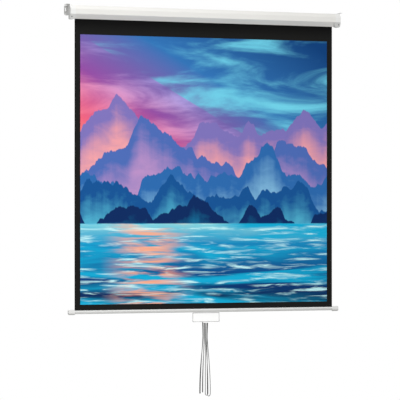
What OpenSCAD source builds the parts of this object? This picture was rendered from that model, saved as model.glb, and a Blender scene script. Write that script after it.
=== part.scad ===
// Wall-mounted pull-down projection screen with a spring roller, in millimetres.
// Origin: on the wall plane, midway between the left and right wall screw holes.
// +X runs along the case to the right, +Y goes into the wall, +Z is up.
// The cloth is drawn fully down and the bar hangs at the end of its travel.

/* [Cloth] */
// Width of the picture area
picture_w = 1778; // [1400:1:2200]
// Height of the picture area
picture_h = 1778; // [1200:1:2000]
// Black border at each side of the picture
border_side = 38; // [20:1:60]
// Black border below the picture, down to the bar
border_bottom = 38; // [20:1:60]
// Black cloth that shows above the picture
border_top = 100; // [60:1:300]
// Thickness of the coated cloth
cloth_t = 0.45; // [0.3:0.05:0.7]
// Distance from the wall to the middle of the cloth
cloth_offset = 30; // [29:1:34]
// Turns of cloth left on the roller when the screen is down
spare_turns = 3; // [2:1:5]
// Depth that the cloth reaches into the bar
cloth_tuck = 4; // [3.8:0.1:4.3]

/* [Case] */
// Height of the case top above the wall holes
case_rise = 27; // [22:1:28]
// Gap between the case and the wall
case_gap = 4; // [3:0.5:8]
// Depth of the case from back to front
case_depth = 76; // [74:1:84]
// Height of the bevel above the front face
bevel_top_h = 25; // [16:1:28]
// Depth of the bevel above the front face
bevel_top_run = 20; // [12:1:22]
// Height of the flat front face
front_h = 34; // [30:1:44]
// Height of the bevel below the front face
bevel_low_h = 30; // [24:1:36]
// Half of the cloth slot, between the front lip and the cloth
slot_front = 8; // [6:0.5:10]
// Half of the cloth slot, between the cloth and the back lip
slot_back = 8; // [6:0.5:10]
// Height of the back wall of the case
case_back_h = 64; // [56:1:70]
// Thickness of the case sheet
case_t = 1; // [0.7:0.1:1.5]
// Height of the folded hem along each lip
hem_h = 9; // [5:1:11]

/* [End caps] */
// Length of the lobe outside the cloth edge
lobe_len = 43; // [40:1:60]
// Drop of the lobe below the front lip
lobe_drop = 3.5; // [3:0.5:8]
// Radius of the outer lower corner of the lobe
lobe_r_out = 8; // [6:1:16]
// Radius of the inner lower corner of the lobe
lobe_r_in = 22; // [8:1:24]
// Distance from the cloth plane to the back of the lobe
lobe_back = 2; // [1.5:0.5:6]
// Distance that the front of the lobe leans back at its bottom
lobe_lean = 15; // [8:1:20]
// Length of the cover that wraps the end of the case
cover_len = 35; // [20:1:44]
// Thickness of that cover
cover_t = 1; // [0.8:0.1:1.5]
// Thickness of the end wall and of the lobe walls
cap_wall = 3; // [2:0.5:4]
// Radius of the boss that carries the bearing plate
boss_r = 17; // [15:0.5:18]
// Height of the cap screw above the bottom of the lobe
cap_screw_rise = 17; // [12:0.5:20]
// Distance of the cap screw from the outer end
cap_screw_inset = 11; // [11:0.5:14]
// Distance from the outer end of the cap to the end of the case sheet
shell_inset = 9; // [9:0.5:12]

/* [Hangers] */
// Thickness of the hanger sheet
hanger_t = 2; // [1.5:0.5:3]
// Width of the wall flange and the top flange
flange_w = 18; // [16:1:26]
// Reach of the side plate from the wall
hanger_reach = 64; // [50:1:70]
// Height of the hanger top above the wall holes
hanger_rise = 34; // [31:1:40]
// Radius of the lower outer corner of the wall flange
flange_round = 14; // [4:1:16]
// Drop of the hanger below the wall holes
hanger_drop = 38; // [34:1:42]
// Radius of the wall and ceiling holes
hang_hole_r = 3; // [2:0.25:4]
// Distance of the ceiling holes from the wall
ceiling_hole_y = 30; // [16:1:48]

/* [Roller] */
// Outer radius of the roller tube
roller_r = 18; // [17:0.5:19]
// Wall of the roller tube
roller_wall = 1; // [0.8:0.1:1.5]
// Drop of the roller axis below the wall holes
roller_drop = 12; // [8:1:16]
// Length of the tube beyond each cloth edge
tube_over = 3; // [2:0.5:5]
// Radius of the fixed spindle
spindle_r = 4.5; // [4:0.25:5]
// Radius of the gudgeon pin
gudgeon_r = 4; // [3:0.25:5]
// Radial clearance of turning fits
run_fit = 0.05; // [0.02:0.01:0.08]
// Thickness of the bearing plates
bearing_t = 2; // [1.5:0.5:3]
// Depth of the plug body inside the tube
plug_len = 25; // [16:1:30]
// Thickness of the plug flange
flange_t = 3; // [2:0.5:4]

/* [Spring] */
// Radius of the spring rod
rod_r = 3; // [2.5:0.25:3.5]
// Wire radius of the torsion spring
wire_r = 1; // [0.8:0.1:1.2]
// Radius at the middle of the spring wire
coil_r = 9; // [8:0.5:11]
// Curls of the torsion spring
spring_curls = 24; // [12:1:28]
// Length from the plug to the spring anchor
spring_len = 330; // [250:5:420]

/* [Lock] */
// Radius of the ratchet wheel
ratchet_r = 9; // [9:0.1:9.3]
// Notches round the ratchet wheel
ratchet_notches = 4; // [2:1:4]
// Thickness of the ratchet wheel
ratchet_t = 4; // [3:0.5:4]
// Radius of the pawl pin
pawl_pin_r = 1.5; // [1.25:0.05:1.6]

/* [Bar] */
// Height of the weight bar
bar_h = 23.5; // [23:0.5:30]
// Depth of the weight bar
bar_depth = 16; // [15:0.5:18]
// Radius of the rod in the cloth hem
hem_rod_r = 2.6; // [2.2:0.1:2.7]
// Height of the bar caps
bar_cap_h = 34; // [32:1:40]
// Depth of the bar caps
bar_cap_depth = 22; // [20:1:26]
// Length of the bar caps
bar_cap_len = 43.5; // [38:0.5:43.5]

/* [Handle] */
// Width of the handle plate
handle_w = 195; // [150:1:260]
// Height of the handle plate
handle_h = 65; // [58:1:80]
// Thickness of the handle plate
handle_t = 3; // [2.5:0.5:4]
// Shadow gap between the bar and the plate
handle_gap = 1.2; // [0.8:0.1:3]
// Width of the middle tab
tab_mid_w = 82; // [70:1:100]
// Width of each outer tab
tab_side_w = 12; // [8:1:16]
// Distance of the outer tabs from the middle
tab_side_x = 59; // [56:1:66]
// Width of the rounded lip in front of the cord
cord_lip_w = 46; // [40:1:70]
// Drop of that lip below the plate
cord_lip_drop = 6; // [3:0.5:9]

/* [Cord] */
// Diameter of the pull cord
cord_d = 4; // [3:0.1:4.2]
// Radius of the saddle that the cord hangs on
saddle_r = 7.5; // [6.5:0.5:8]
// Height of the saddle above the bottom of the plate
saddle_rise = 15; // [12:1:18]

/* [Hidden] */
$fn = 64;

// Widths along the case
cloth_w = picture_w + 2 * border_side;
cloth_x = cloth_w / 2;
cap_out = cloth_x + lobe_len;
cap_in = cap_out - cap_wall;
shell_x = cap_out - shell_inset;
tube_x = cloth_x + tube_over;
hole_x = cap_out + (hanger_t + flange_w) / 2;

// Depths, with the wall at zero and the room at minus Y
cloth_y = -cloth_offset;
back_y = -case_gap;
front_y = -case_gap - case_depth;
lip_front_y = cloth_y - slot_front;
lip_back_y = cloth_y + slot_back;
lobe_back_y = cloth_y - lobe_back;

// Heights, with the wall holes at zero
case_top_z = case_rise;
front_top_z = case_top_z - bevel_top_h;
front_low_z = front_top_z - front_h;
lip_z = front_low_z - bevel_low_h;
back_low_z = case_top_z - case_back_h;
lobe_z = lip_z - cover_t - lobe_drop;
cap_screw_z = lobe_z + cap_screw_rise;
picture_top_z = lip_z - border_top;
bar_top_z = picture_top_z - picture_h - border_bottom;
bar_low_z = bar_top_z - bar_h;
bar_cap_rise = 5;
bar_cap_top_z = bar_top_z + bar_cap_rise;
handle_top_z = bar_low_z - handle_gap;
handle_low_z = handle_top_z - handle_h;

// Small clearances
seat = 0.3;
fit = 0.05;

// Roller axis: the spare turns just clear the hanging cloth
wound_r = roller_r + spare_turns * cloth_t;
roller_y = cloth_y - cloth_t / 2 - seat - wound_r;
roller_z = -roller_drop;

// Where things stand along the spring end, counted from the middle
boss_len = 23;
boss_face = cap_in - boss_len;
pocket_r = 7.5;
bearing_x = boss_face - bearing_t;
flange_x = tube_x + flange_t;
ratchet_gap = 1.5;
ratchet_x = flange_x + ratchet_gap;
plug_x = tube_x - plug_len;
spindle_stub = 7;
spindle_in = plug_x - spindle_stub;
anchor_len = 15;
anchor_x = plug_x - spring_len;
rod_bush_len = 10;
rod_bush_gap = 2;
rod_bush_x = anchor_x - anchor_len - rod_bush_gap;
rod_tip = 3;
rod_in = rod_bush_x - rod_bush_len - rod_tip;
rod_socket = 10;
screw_circle = 12;
spindle_tang = [8, 5];
tang_len = 12;
bearing_hub_r = 9.5;
bearing_ear_r = 5;
bush_r = 7;
bush_lip = 2;
bush_depth = 4;
gudgeon_inset = 5;
anchor_rim = 2;

// Pawl, beside the roller axis towards the wall
pawl_at = [12.55, 8.7];
pawl_eye_r = 3;
pawl_pin_depth = 12;
pawl_pin_head = [pawl_pin_r + 1, 1];
pawl_t = ratchet_t - 0.6;
pawl_outline = [[-2.4, 0], [-2.8, -9], [-1.6, -9.6], [-0.6, -9.2], [2.2, 0]];
pawl_stop_at = [1.66, -6.39];
pawl_stop_r = 1.2;
notch_root = 6.2;
notch_reach = 12;
notch_angles = [-3, -5, 45];

// Screws, as shank radius, head radius and head height
cap_screw = [1.5, 3.5, 1.6];
cap_screw_boss_r = 6.5;
cap_screw_spot_r = 4.2;
cap_screw_grip = 27;
hanger_screw = [1.75, 3.2, 2];
hanger_screw_grip = 3;
bearing_screw = [1.25, 2.6, 1.5];
bearing_screw_grip = 7;
handle_screw = [1.25, 2.6, 1.6];
ear_screw = [1.25, 2.4, 1.5];
screw_skin = 0.5;

// Bar section
bar_wall = 3.2;
bar_r = bar_depth / 2;
bar_bore_r = bar_r - bar_wall;
bar_bore_z = bar_low_z + bar_r;
bar_edge_r = 7;
channel_play = 0.4;
channel_r = hem_rod_r + channel_play;
channel_z = bar_top_z - cloth_tuck - seat - hem_rod_r;
channel_mouth = cloth_t + 2 * channel_play;
bar_gap = 0.5;
bar_x = cloth_x + bar_gap;
bar_spigot = 15;
bar_cap_edge_in = 2;
bar_cap_edge_out = 9;

// Tabs of the handle plate, as [middle, width]
tabs = [[0, tab_mid_w], [-tab_side_x, tab_side_w], [tab_side_x, tab_side_w]];
tab_reach = 2.5;
tab_rise = bar_r + tab_reach;
handle_screw_x = 25;
handle_screw_z = bar_low_z + bar_r;
lip_round = (pow(cord_lip_w / 2, 2) + pow(cord_lip_drop, 2)) / (2 * cord_lip_drop);

// Cord saddle, behind the plate
handle_y = cloth_y;
handle_corner = 3;
plate_back_y = handle_y + handle_t / 2;
plate_front_y = handle_y - handle_t / 2;
cord_r = cord_d / 2;
over_r = saddle_r + cord_r + seat;
cord_play = 1.2;
saddle_y = plate_back_y + over_r + cord_r + cord_play;
saddle_z = handle_low_z + saddle_rise;
saddle_half = 16.5;
saddle_axle_r = 2.5;
rim_h = 2;
rim_r = saddle_r + rim_h;
rim_t = 1.5;
cheek_x = 25;
cheek_t = 3;
ear_len = 8;
ear_t = 2;
ear_h = 10;
ear_drop = 8;
ledge_play = 3.2;
ledge_rise = over_r + cord_r + ledge_play;
ledge_hole_play = 0.4;
ledge_t = 3;
ledge_z = saddle_z + ledge_rise;
cheek_drop = 9;
saddle_depth = 24;
cord_end_x = 21;
cord_end_step = 5;
knot_r = 5;
cord_ends = [[-cord_end_x, saddle_y - cord_end_step], [cord_end_x, saddle_y + cord_end_step]];
ear_screw_x = cheek_x + cheek_t + ear_len / 2;
ear_screw_z = ledge_z - ear_drop;

// Pull cord: one cord in four long loops, hung over the saddle side by side
loops = 4;
over_x = [-11, 0, 11];
down_waist_x = [-19.5, -9.8, -0.1, 9.6];
up_waist_x = [-14.7, -5, 4.8, 14.5];
loop_x = [-39, -20, 9, 25];
loop_half = [8.5, 8.5, 13, 18];
loop_turn = [84, 78, 25, 35];
loop_low = [496, 488, 509, 515];
waist_at = 0.23;
loop_ease = 0.7;
loop_y = saddle_y - 4;
waist_step = 3;
down_waist_y = loop_y - waist_step;
up_waist_y = loop_y + waist_step;
run_rings = 7;
fold_rings = 5;
cord_sides = 6;
wire_sides = 6;
curl_rings = 8;

// Outline of the case section, as [y, z] points along the sheet
case_path = [[lip_back_y, back_low_z + hem_h], [lip_back_y, back_low_z], [back_y, back_low_z],
    [back_y, case_top_z], [front_y + bevel_top_run, case_top_z], [front_y, front_top_z],
    [front_y, front_low_z], [lip_front_y, lip_z], [lip_front_y, lip_z + hem_h]];
cover_path = [for (i = [2 : 7]) case_path[i]];
case_inside = concat(cover_path, [[lobe_back_y, lip_z], [lobe_back_y, back_low_z]]);

// Front of the lobe, and where the cap screw sits in it
lobe_front = [[front_y - cover_t, front_low_z], [front_y - cover_t + lobe_lean, lobe_z]];
cap_screw_seat_y = front_y - cover_t
    + lobe_lean * (front_low_z - cap_screw_z + cap_screw_spot_r) / (front_low_z - lobe_z);

// Opening in the side plate of the hanger, wide above and narrow below
hanger_window = [[-54, 24], [-12, 24], [-30, 2], [-30, -13], [-36, -13], [-36, 2]];
hanger_screw_at = [[-50, -27], [-16, -27]];

// Helpers
function unit(v) = v / norm(v);
function mix(a, b, t) = a + (b - a) * t;
function ease(t) = (1 - cos(180 * t)) / 2;
function left_of(a, b) = let (d = unit(b - a)) [-d[1], d[0]];

// Mitred copy of an open path, moved d to its left
function beside(p, d) = [for (i = [0 : len(p) - 1])
    let (before = left_of(p[max(i - 1, 0)], p[max(i, 1)]),
         after = left_of(p[min(i, len(p) - 2)], p[min(i + 1, len(p) - 1)]))
    p[i] + d * (before + after) / (1 + before * after)];
function strip(p, d) = let (q = beside(p, d)) concat(p, [for (i = [len(q) - 1 : -1 : 0]) q[i]]);

module along_x(from, to) translate([from, 0, 0]) rotate([90, 0, 90]) linear_extrude(to - from) children();
module along_y(from, to) translate([0, to, 0]) rotate([90, 0, 0]) linear_extrude(to - from) children();
module rod_x(from, to, r) along_x(from, to) circle(r);
module at_roller() translate([0, roller_y, roller_z]) children();
module on_left() mirror([1, 0, 0]) children();
module both_ends() { children(); on_left() children(); }

// A block in the XZ plane with two round lower corners
module round_foot(w, h, r_left, r_right) difference() {
    square([w, h]);
    difference() {
        translate([-1, -1]) square(r_left + 1);
        translate([r_left, r_left]) circle(r_left);
    }
    difference() {
        translate([w - r_right, -1]) square(r_right + 1);
        translate([w - r_right, r_right]) circle(r_right);
    }
}

// Tube along a list of points
function tangents(p) = [for (i = [0 : len(p) - 1]) unit(p[min(i + 1, len(p) - 1)] - p[max(i - 1, 0)])];
function normals(t, first) = [for (i = 0, n = first; i < len(t);
    n = unit(n - (n * t[min(i + 1, len(t) - 1)]) * t[min(i + 1, len(t) - 1)]), i = i + 1) n];
module tube(p, r, sides, first) {
    t = tangents(p);
    n = normals(t, first);
    last = (len(p) - 1) * sides;
    polyhedron(
        points = [for (i = [0 : len(p) - 1]) for (k = [0 : sides - 1])
            let (a = 360 * k / sides) p[i] + r * (cos(a) * n[i] + sin(a) * cross(t[i], n[i]))],
        faces = concat(
            [for (k = [1 : sides - 2]) [0, k, k + 1]],
            [for (k = [1 : sides - 2]) [last, last + k + 1, last + k]],
            [for (i = [0 : len(p) - 2]) for (k = [0 : sides - 1])
                let (a = i * sides + k, b = i * sides + (k + 1) % sides) [a, b + sides, b]],
            [for (i = [0 : len(p) - 2]) for (k = [0 : sides - 1])
                let (a = i * sides + k, b = i * sides + (k + 1) % sides) [a, a + sides, b + sides]]));
}

// Least distance between stretches of a path that are further apart than skip along it
function dense(p, step) = concat([for (i = [0 : len(p) - 2])
    let (m = ceil(norm(p[i + 1] - p[i]) / step)) for (k = [0 : m - 1]) mix(p[i], p[i + 1], k / m)],
    [p[len(p) - 1]]);
function least_gap(p, step, skip, d) = let (q = dense(p, step), far = ceil(skip / step))
    min([for (i = [0 : len(q) - far - 2]) for (j = [i + far : len(q) - 1]) norm(q[i] - q[j])]) - d;
function path_length(p, i = 0) = i >= len(p) - 1 ? 0 : norm(p[i + 1] - p[i]) + path_length(p, i + 1);

// Case and caps
module case_shell() color("whitesmoke") difference() {
    along_x(-shell_x, shell_x) polygon(strip(case_path, case_t));
    both_ends() along_y(front_y, front_y + cap_screw_grip + 1) translate(cap_screw_at())
        circle(cap_screw[0] + fit);
}

module behind_lobe_front(inset) let (p = beside(lobe_front, inset), run = p[1] - p[0])
    along_x(0, cap_out + 1) polygon([p[0] - run, p[1] + run, [0, p[1][1] + run[1]], [0, p[0][1] - run[1]]]);
module lobe(inset) intersection() {
    along_y(front_y - cover_t, lobe_back_y - inset) translate([cloth_x + inset, lobe_z + inset])
        round_foot(lobe_len - 2 * inset, front_low_z - lobe_z, lobe_r_in - inset, lobe_r_out - inset);
    behind_lobe_front(inset);
}

module end_cap() difference() {
    union() {
        along_x(cap_in, cap_out) difference() {
            polygon(concat(beside(cover_path, -cover_t),
                [[lobe_back_y, lip_z - cover_t], [lobe_back_y, back_low_z - cover_t]]));
            translate([front_y - cover_t - 1, lobe_z - 1])
                square([lobe_back_y - front_y + cover_t + 1, front_low_z - lobe_z + 1]);
        }
        along_x(cap_out - cover_len, cap_in) polygon(strip(cover_path, -cover_t));
        difference() {
            lobe(0);
            lobe(cap_wall);
            along_x(0, shell_x) polygon(case_inside);
        }
        intersection() {
            lobe(0);
            along_y(front_y, lobe_back_y - cap_wall) translate(cap_screw_at()) circle(cap_screw_boss_r);
            along_x(0, cap_in) difference() {
                translate([front_y - cover_t, lobe_z]) square([case_depth, case_back_h]);
                polygon(case_inside);
            }
        }
        at_roller() rod_x(boss_face, cap_in, boss_r);
    }
    along_y(front_y - cover_t - 1, front_y + cap_screw_grip + 1) translate(cap_screw_at())
        circle(cap_screw[0] + fit);
    along_y(front_y - cover_t - 1, cap_screw_seat_y) translate(cap_screw_at()) circle(cap_screw_spot_r);
    at_roller() {
        rod_x(boss_face - 1, boss_face + tang_len, pocket_r);
        for (s = [-1, 1]) translate([0, s * screw_circle, 0])
            rod_x(boss_face - 1, boss_face + bearing_screw_grip + 1, bearing_screw[0] + fit);
    }
    for (p = hanger_screw_at) translate([0, p[0], p[1]])
        rod_x(cap_in - hanger_screw_grip - 1, cap_out + 1, hanger_screw[0] + fit);
}
function cap_screw_at() = [cap_out - cap_screw_inset, cap_screw_z];
module right_end_cap() color("gainsboro") end_cap();
module left_end_cap() color("gainsboro") on_left() end_cap();

module cap_screws() color("dimgray") both_ends() {
    along_y(cap_screw_seat_y - cap_screw[2], cap_screw_seat_y) translate(cap_screw_at())
        circle(cap_screw[1]);
    along_y(cap_screw_seat_y, front_y + cap_screw_grip) translate(cap_screw_at()) circle(cap_screw[0]);
}

// Hangers
module hanger() difference() {
    union() {
        along_x(cap_out, cap_out + hanger_t) difference() {
            translate([-hanger_reach, -hanger_drop]) square([hanger_reach, hanger_drop + hanger_rise]);
            polygon(hanger_window);
            for (p = hanger_screw_at) translate(p) circle(hanger_screw[0] + fit);
        }
        along_y(-hanger_t, 0) translate([cap_out, -hanger_drop]) difference() {
            square([flange_w + hanger_t, hanger_drop + hanger_rise]);
            difference() {
                translate([flange_w + hanger_t - flange_round, -1]) square(flange_round + 1);
                translate([flange_w + hanger_t - flange_round, flange_round]) circle(flange_round);
            }
        }
        translate([cap_out, -hanger_reach, hanger_rise - hanger_t])
            cube([flange_w + hanger_t, hanger_reach, hanger_t]);
    }
    along_y(-hanger_t - 1, 1) translate([hole_x, 0]) circle(hang_hole_r);
    translate([hole_x, -ceiling_hole_y, hanger_rise - hanger_t - 1]) cylinder(hanger_t + 2, r = hang_hole_r);
}
module right_hanger() color("darkgray") hanger();
module left_hanger() color("darkgray") on_left() hanger();

module hanger_screws() color("silver") both_ends() for (p = hanger_screw_at) translate([0, p[0], p[1]]) {
    rod_x(cap_in - hanger_screw_grip, cap_out + hanger_t, hanger_screw[0]);
    rod_x(cap_out + hanger_t, cap_out + hanger_t + hanger_screw[2], hanger_screw[1]);
}

// Bearings and the fixed spring parts
module bearing_plate(hole) at_roller() along_x(bearing_x, boss_face) difference() {
    union() {
        circle(bearing_hub_r);
        translate([-screw_circle, -bearing_ear_r]) square([2 * screw_circle, 2 * bearing_ear_r]);
        for (s = [-1, 1]) translate([s * screw_circle, 0]) circle(bearing_ear_r);
    }
    if (hole > 0) circle(hole); else square(spindle_tang, center = true);
    for (s = [-1, 1]) translate([s * screw_circle, 0]) circle(bearing_screw[0] + fit);
}
module right_bearing_plate() color("lightslategray") bearing_plate(bush_r + fit);
module left_bearing_plate() color("lightslategray") on_left() bearing_plate(0);
module bearing_screws() color("silver") both_ends() at_roller()
    for (s = [-1, 1]) translate([0, s * screw_circle, 0]) {
        rod_x(bearing_x, boss_face + bearing_screw_grip, bearing_screw[0]);
        rod_x(bearing_x - bearing_screw[2], bearing_x, bearing_screw[1]);
    }

module idle_bush() color("ivory") at_roller() along_x(bearing_x - bush_lip, boss_face + bush_depth)
    difference() {
        circle(bush_r);
        circle(gudgeon_r + run_fit);
    }

module fixed_spindle() color("lightgray") on_left() at_roller() difference() {
    union() {
        rod_x(spindle_in, bearing_x, spindle_r);
        along_x(bearing_x, bearing_x + tang_len) square(spindle_tang, center = true);
    }
    rod_x(spindle_in - 1, spindle_in + rod_socket, rod_r + fit);
}

module ratchet_wheel() color("goldenrod") on_left() at_roller() along_x(ratchet_x, ratchet_x + ratchet_t)
    difference() {
        circle(ratchet_r);
        circle(spindle_r + fit);
        for (k = [0 : ratchet_notches - 1]) rotate(360 * k / ratchet_notches) polygon([
            notch_root * [cos(notch_angles[0]), sin(notch_angles[0])],
            notch_reach * [cos(notch_angles[1]), sin(notch_angles[1])],
            notch_reach * [cos(notch_angles[2]), sin(notch_angles[2])]]);
    }

module spring_rod() color("silver") on_left() at_roller() rod_x(rod_in, spindle_in + rod_socket, rod_r);

module spring_anchor() color("ivory") on_left() at_roller() along_x(anchor_x - anchor_len, anchor_x)
    difference() {
        circle(coil_r + anchor_rim);
        circle(rod_r + fit);
    }

// The spring leaves each seat straight, turns into its curls and back
lead = 2 * wire_r;
lead_bend = 3;
spring_from = anchor_x;
spring_to = plug_x - seat;
coil_from = spring_from + lead + lead_bend;
coil_to = spring_to - lead - lead_bend;
function coil_point(a) = [mix(coil_from, coil_to, a / (360 * spring_curls)),
    coil_r * cos(a), coil_r * sin(a)];
spring_in = [for (a = [0, 90]) [spring_from + a / 90 * lead, coil_r, -lead_bend]];
spring_turn_in = [for (a = [30, 60])
    [spring_from + lead + lead_bend * sin(a), coil_r, -lead_bend * cos(a)]];
spring_coil = [for (k = [0 : spring_curls * curl_rings]) coil_point(360 * k / curl_rings)];
spring_turn_out = [for (a = [60, 30])
    [spring_to - lead - lead_bend * sin(a), coil_r, lead_bend * cos(a)]];
spring_out = [for (a = [90, 0]) [spring_to - a / 90 * lead, coil_r, lead_bend]];
spring_path = concat(spring_in, spring_turn_in, spring_coil, spring_turn_out, spring_out);
module torsion_spring() color("slategray") {
    echo(spring_least_gap = least_gap(spring_path, 2.5, 20, 2 * wire_r));
    on_left() at_roller() tube(spring_path, wire_r, wire_sides, [0, 1, 0]);
}

// Roller
module roller_tube() color("silver") at_roller() along_x(-tube_x, tube_x) difference() {
    circle(roller_r);
    circle(roller_r - roller_wall);
}

module end_plug(bore) at_roller() difference() {
    union() {
        rod_x(plug_x, tube_x, roller_r - roller_wall);
        rod_x(tube_x, flange_x, roller_r);
    }
    rod_x(plug_x - 1, flange_x + 1, bore);
}
module at_pawl() at_roller() translate([0, pawl_at[0], pawl_at[1]]) children();
module spring_end_plug() color("ivory") on_left() {
    difference() {
        end_plug(spindle_r + run_fit);
        at_pawl() rod_x(plug_x + pawl_pin_depth, flange_x + 1, pawl_pin_r + fit);
    }
    at_pawl() translate([0, pawl_stop_at[0], pawl_stop_at[1]])
        rod_x(flange_x, ratchet_x + ratchet_t / 2, pawl_stop_r);
}
module idle_end_plug() color("ivory") end_plug(gudgeon_r + fit);
module gudgeon_pin() color("silver") at_roller()
    rod_x(plug_x + gudgeon_inset, boss_face + bush_depth, gudgeon_r);

module rod_bush() color("ivory") on_left() at_roller() along_x(rod_bush_x - rod_bush_len, rod_bush_x)
    difference() {
        circle(roller_r - roller_wall);
        circle(rod_r + run_fit);
    }

module wound_cloth() color("dimgray") at_roller() along_x(-cloth_x, cloth_x) difference() {
    circle(wound_r);
    circle(roller_r);
}

module pawl_pin() color("silver") on_left() at_pawl() {
    rod_x(plug_x + pawl_pin_depth, ratchet_x + ratchet_t, pawl_pin_r);
    rod_x(ratchet_x + ratchet_t, ratchet_x + ratchet_t + pawl_pin_head[1], pawl_pin_head[0]);
}

module lock_pawl() color("goldenrod") on_left() at_pawl()
    along_x(ratchet_x + seat, ratchet_x + seat + pawl_t) difference() {
        union() {
            circle(pawl_eye_r);
            polygon(pawl_outline);
        }
        circle(pawl_pin_r + run_fit);
    }

// Cloth and bar
module screen_cloth() color("midnightblue")
    translate([-cloth_x, cloth_y - cloth_t / 2, bar_top_z - cloth_tuck])
        cube([cloth_w, cloth_t, roller_z - bar_top_z + cloth_tuck]);

module weight_bar() color("whitesmoke") difference() {
    along_x(-bar_x, bar_x) translate([cloth_y, 0]) difference() {
        union() {
            translate([0, bar_bore_z]) circle(bar_r);
            translate([-bar_r, bar_bore_z]) square([bar_depth, bar_h - bar_r - bar_edge_r]);
            translate([-bar_r + bar_edge_r, bar_bore_z]) square([bar_depth - 2 * bar_edge_r, bar_h - bar_r]);
            for (s = [-1, 1]) translate([s * (bar_r - bar_edge_r), bar_top_z - bar_edge_r])
                circle(bar_edge_r);
        }
        translate([0, bar_bore_z]) circle(bar_bore_r);
        translate([0, channel_z]) circle(channel_r);
        translate([-channel_mouth / 2, channel_z]) square([channel_mouth, bar_top_z - channel_z + 1]);
    }
    for (tab = tabs) translate([tab[0] - tab[1] / 2 - fit, handle_y - handle_t / 2 - fit, bar_low_z - 1])
        cube([tab[1] + 2 * fit, handle_t + 2 * fit, bar_bore_z - bar_low_z]);
    for (s = [-1, 1]) along_y(cloth_y, cloth_y + bar_r + 1) translate([s * handle_screw_x, handle_screw_z])
        circle(handle_screw[0] + fit);
}

module hem_rod() color("gray") translate([0, cloth_y, channel_z]) rod_x(-cloth_x, cloth_x, hem_rod_r);

module bar_cap() {
    intersection() {
        along_x(bar_x, bar_x + bar_cap_len) translate([cloth_y, bar_cap_top_z]) {
            for (z = [-bar_cap_depth / 2, bar_cap_depth / 2 - bar_cap_h]) translate([0, z])
                circle(bar_cap_depth / 2);
            translate([-bar_cap_depth / 2, bar_cap_depth / 2 - bar_cap_h])
                square([bar_cap_depth, bar_cap_h - bar_cap_depth]);
        }
        along_y(cloth_y - bar_cap_depth, cloth_y + bar_cap_depth)
            translate([bar_x, bar_cap_top_z - bar_cap_h])
                round_foot(bar_cap_len, bar_cap_h, bar_cap_edge_in, bar_cap_edge_out);
    }
    translate([0, cloth_y, bar_bore_z]) rod_x(bar_x - bar_spigot, bar_x + bar_cap_edge_in, bar_bore_r - fit);
}
module right_bar_cap() color("gainsboro") bar_cap();
module left_bar_cap() color("gainsboro") on_left() bar_cap();

// Handle
module handle_plate() color("white") difference() {
    along_y(plate_front_y, plate_back_y) {
        translate([-handle_w / 2, handle_low_z]) round_foot(handle_w, handle_h, handle_corner, handle_corner);
        intersection() {
            translate([0, handle_low_z - cord_lip_drop + lip_round]) circle(lip_round);
            translate([-cord_lip_w / 2, handle_low_z - cord_lip_drop])
                square([cord_lip_w, cord_lip_drop + 1]);
        }
        for (tab = tabs) translate([tab[0] - tab[1] / 2, handle_top_z - 1])
            square([tab[1], bar_low_z + tab_rise - handle_top_z + 1]);
    }
    for (s = [-1, 1]) {
        along_y(plate_front_y + screw_skin, plate_back_y + 1)
            translate([s * handle_screw_x, handle_screw_z]) circle(handle_screw[0] + fit);
        along_y(plate_front_y + screw_skin, plate_back_y + 1) translate([s * ear_screw_x, ear_screw_z])
            circle(ear_screw[0] + fit);
    }
}

module handle_screws() color("silver") for (s = [-1, 1]) {
    along_y(plate_front_y + screw_skin, cloth_y + bar_r) translate([s * handle_screw_x, handle_screw_z])
        circle(handle_screw[0]);
    along_y(cloth_y + bar_r, cloth_y + bar_r + handle_screw[2])
        translate([s * handle_screw_x, handle_screw_z]) circle(handle_screw[1]);
}

module cord_saddle() color("gainsboro") difference() {
    union() {
        translate([0, saddle_y, saddle_z]) {
            rod_x(-saddle_half, saddle_half, saddle_r);
            rod_x(-cheek_x, cheek_x, saddle_axle_r);
            both_ends() rod_x(saddle_half, saddle_half + rim_t, rim_r);
        }
        both_ends() {
            translate([cheek_x, plate_back_y, saddle_z - cheek_drop])
                cube([cheek_t, saddle_depth, cheek_drop + ledge_rise + ledge_t]);
            translate([cheek_x, plate_back_y, ear_screw_z - ear_h / 2])
                cube([cheek_t + ear_len, ear_t, ear_h]);
        }
        translate([-cheek_x, plate_back_y, ledge_z]) cube([2 * cheek_x, saddle_depth, ledge_t]);
    }
    for (p = cord_ends) translate([p[0], p[1], ledge_z - 1])
        cylinder(ledge_t + 2, r = cord_r + ledge_hole_play);
    for (s = [-1, 1]) along_y(plate_back_y - 1, plate_back_y + ear_t + 1)
        translate([s * ear_screw_x, ear_screw_z]) circle(ear_screw[0] + fit);
}

module saddle_screws() color("silver") for (s = [-1, 1]) {
    along_y(plate_front_y + screw_skin, plate_back_y + ear_t) translate([s * ear_screw_x, ear_screw_z])
        circle(ear_screw[0]);
    along_y(plate_back_y + ear_t, plate_back_y + ear_t + ear_screw[2])
        translate([s * ear_screw_x, ear_screw_z]) circle(ear_screw[1]);
}

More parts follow.
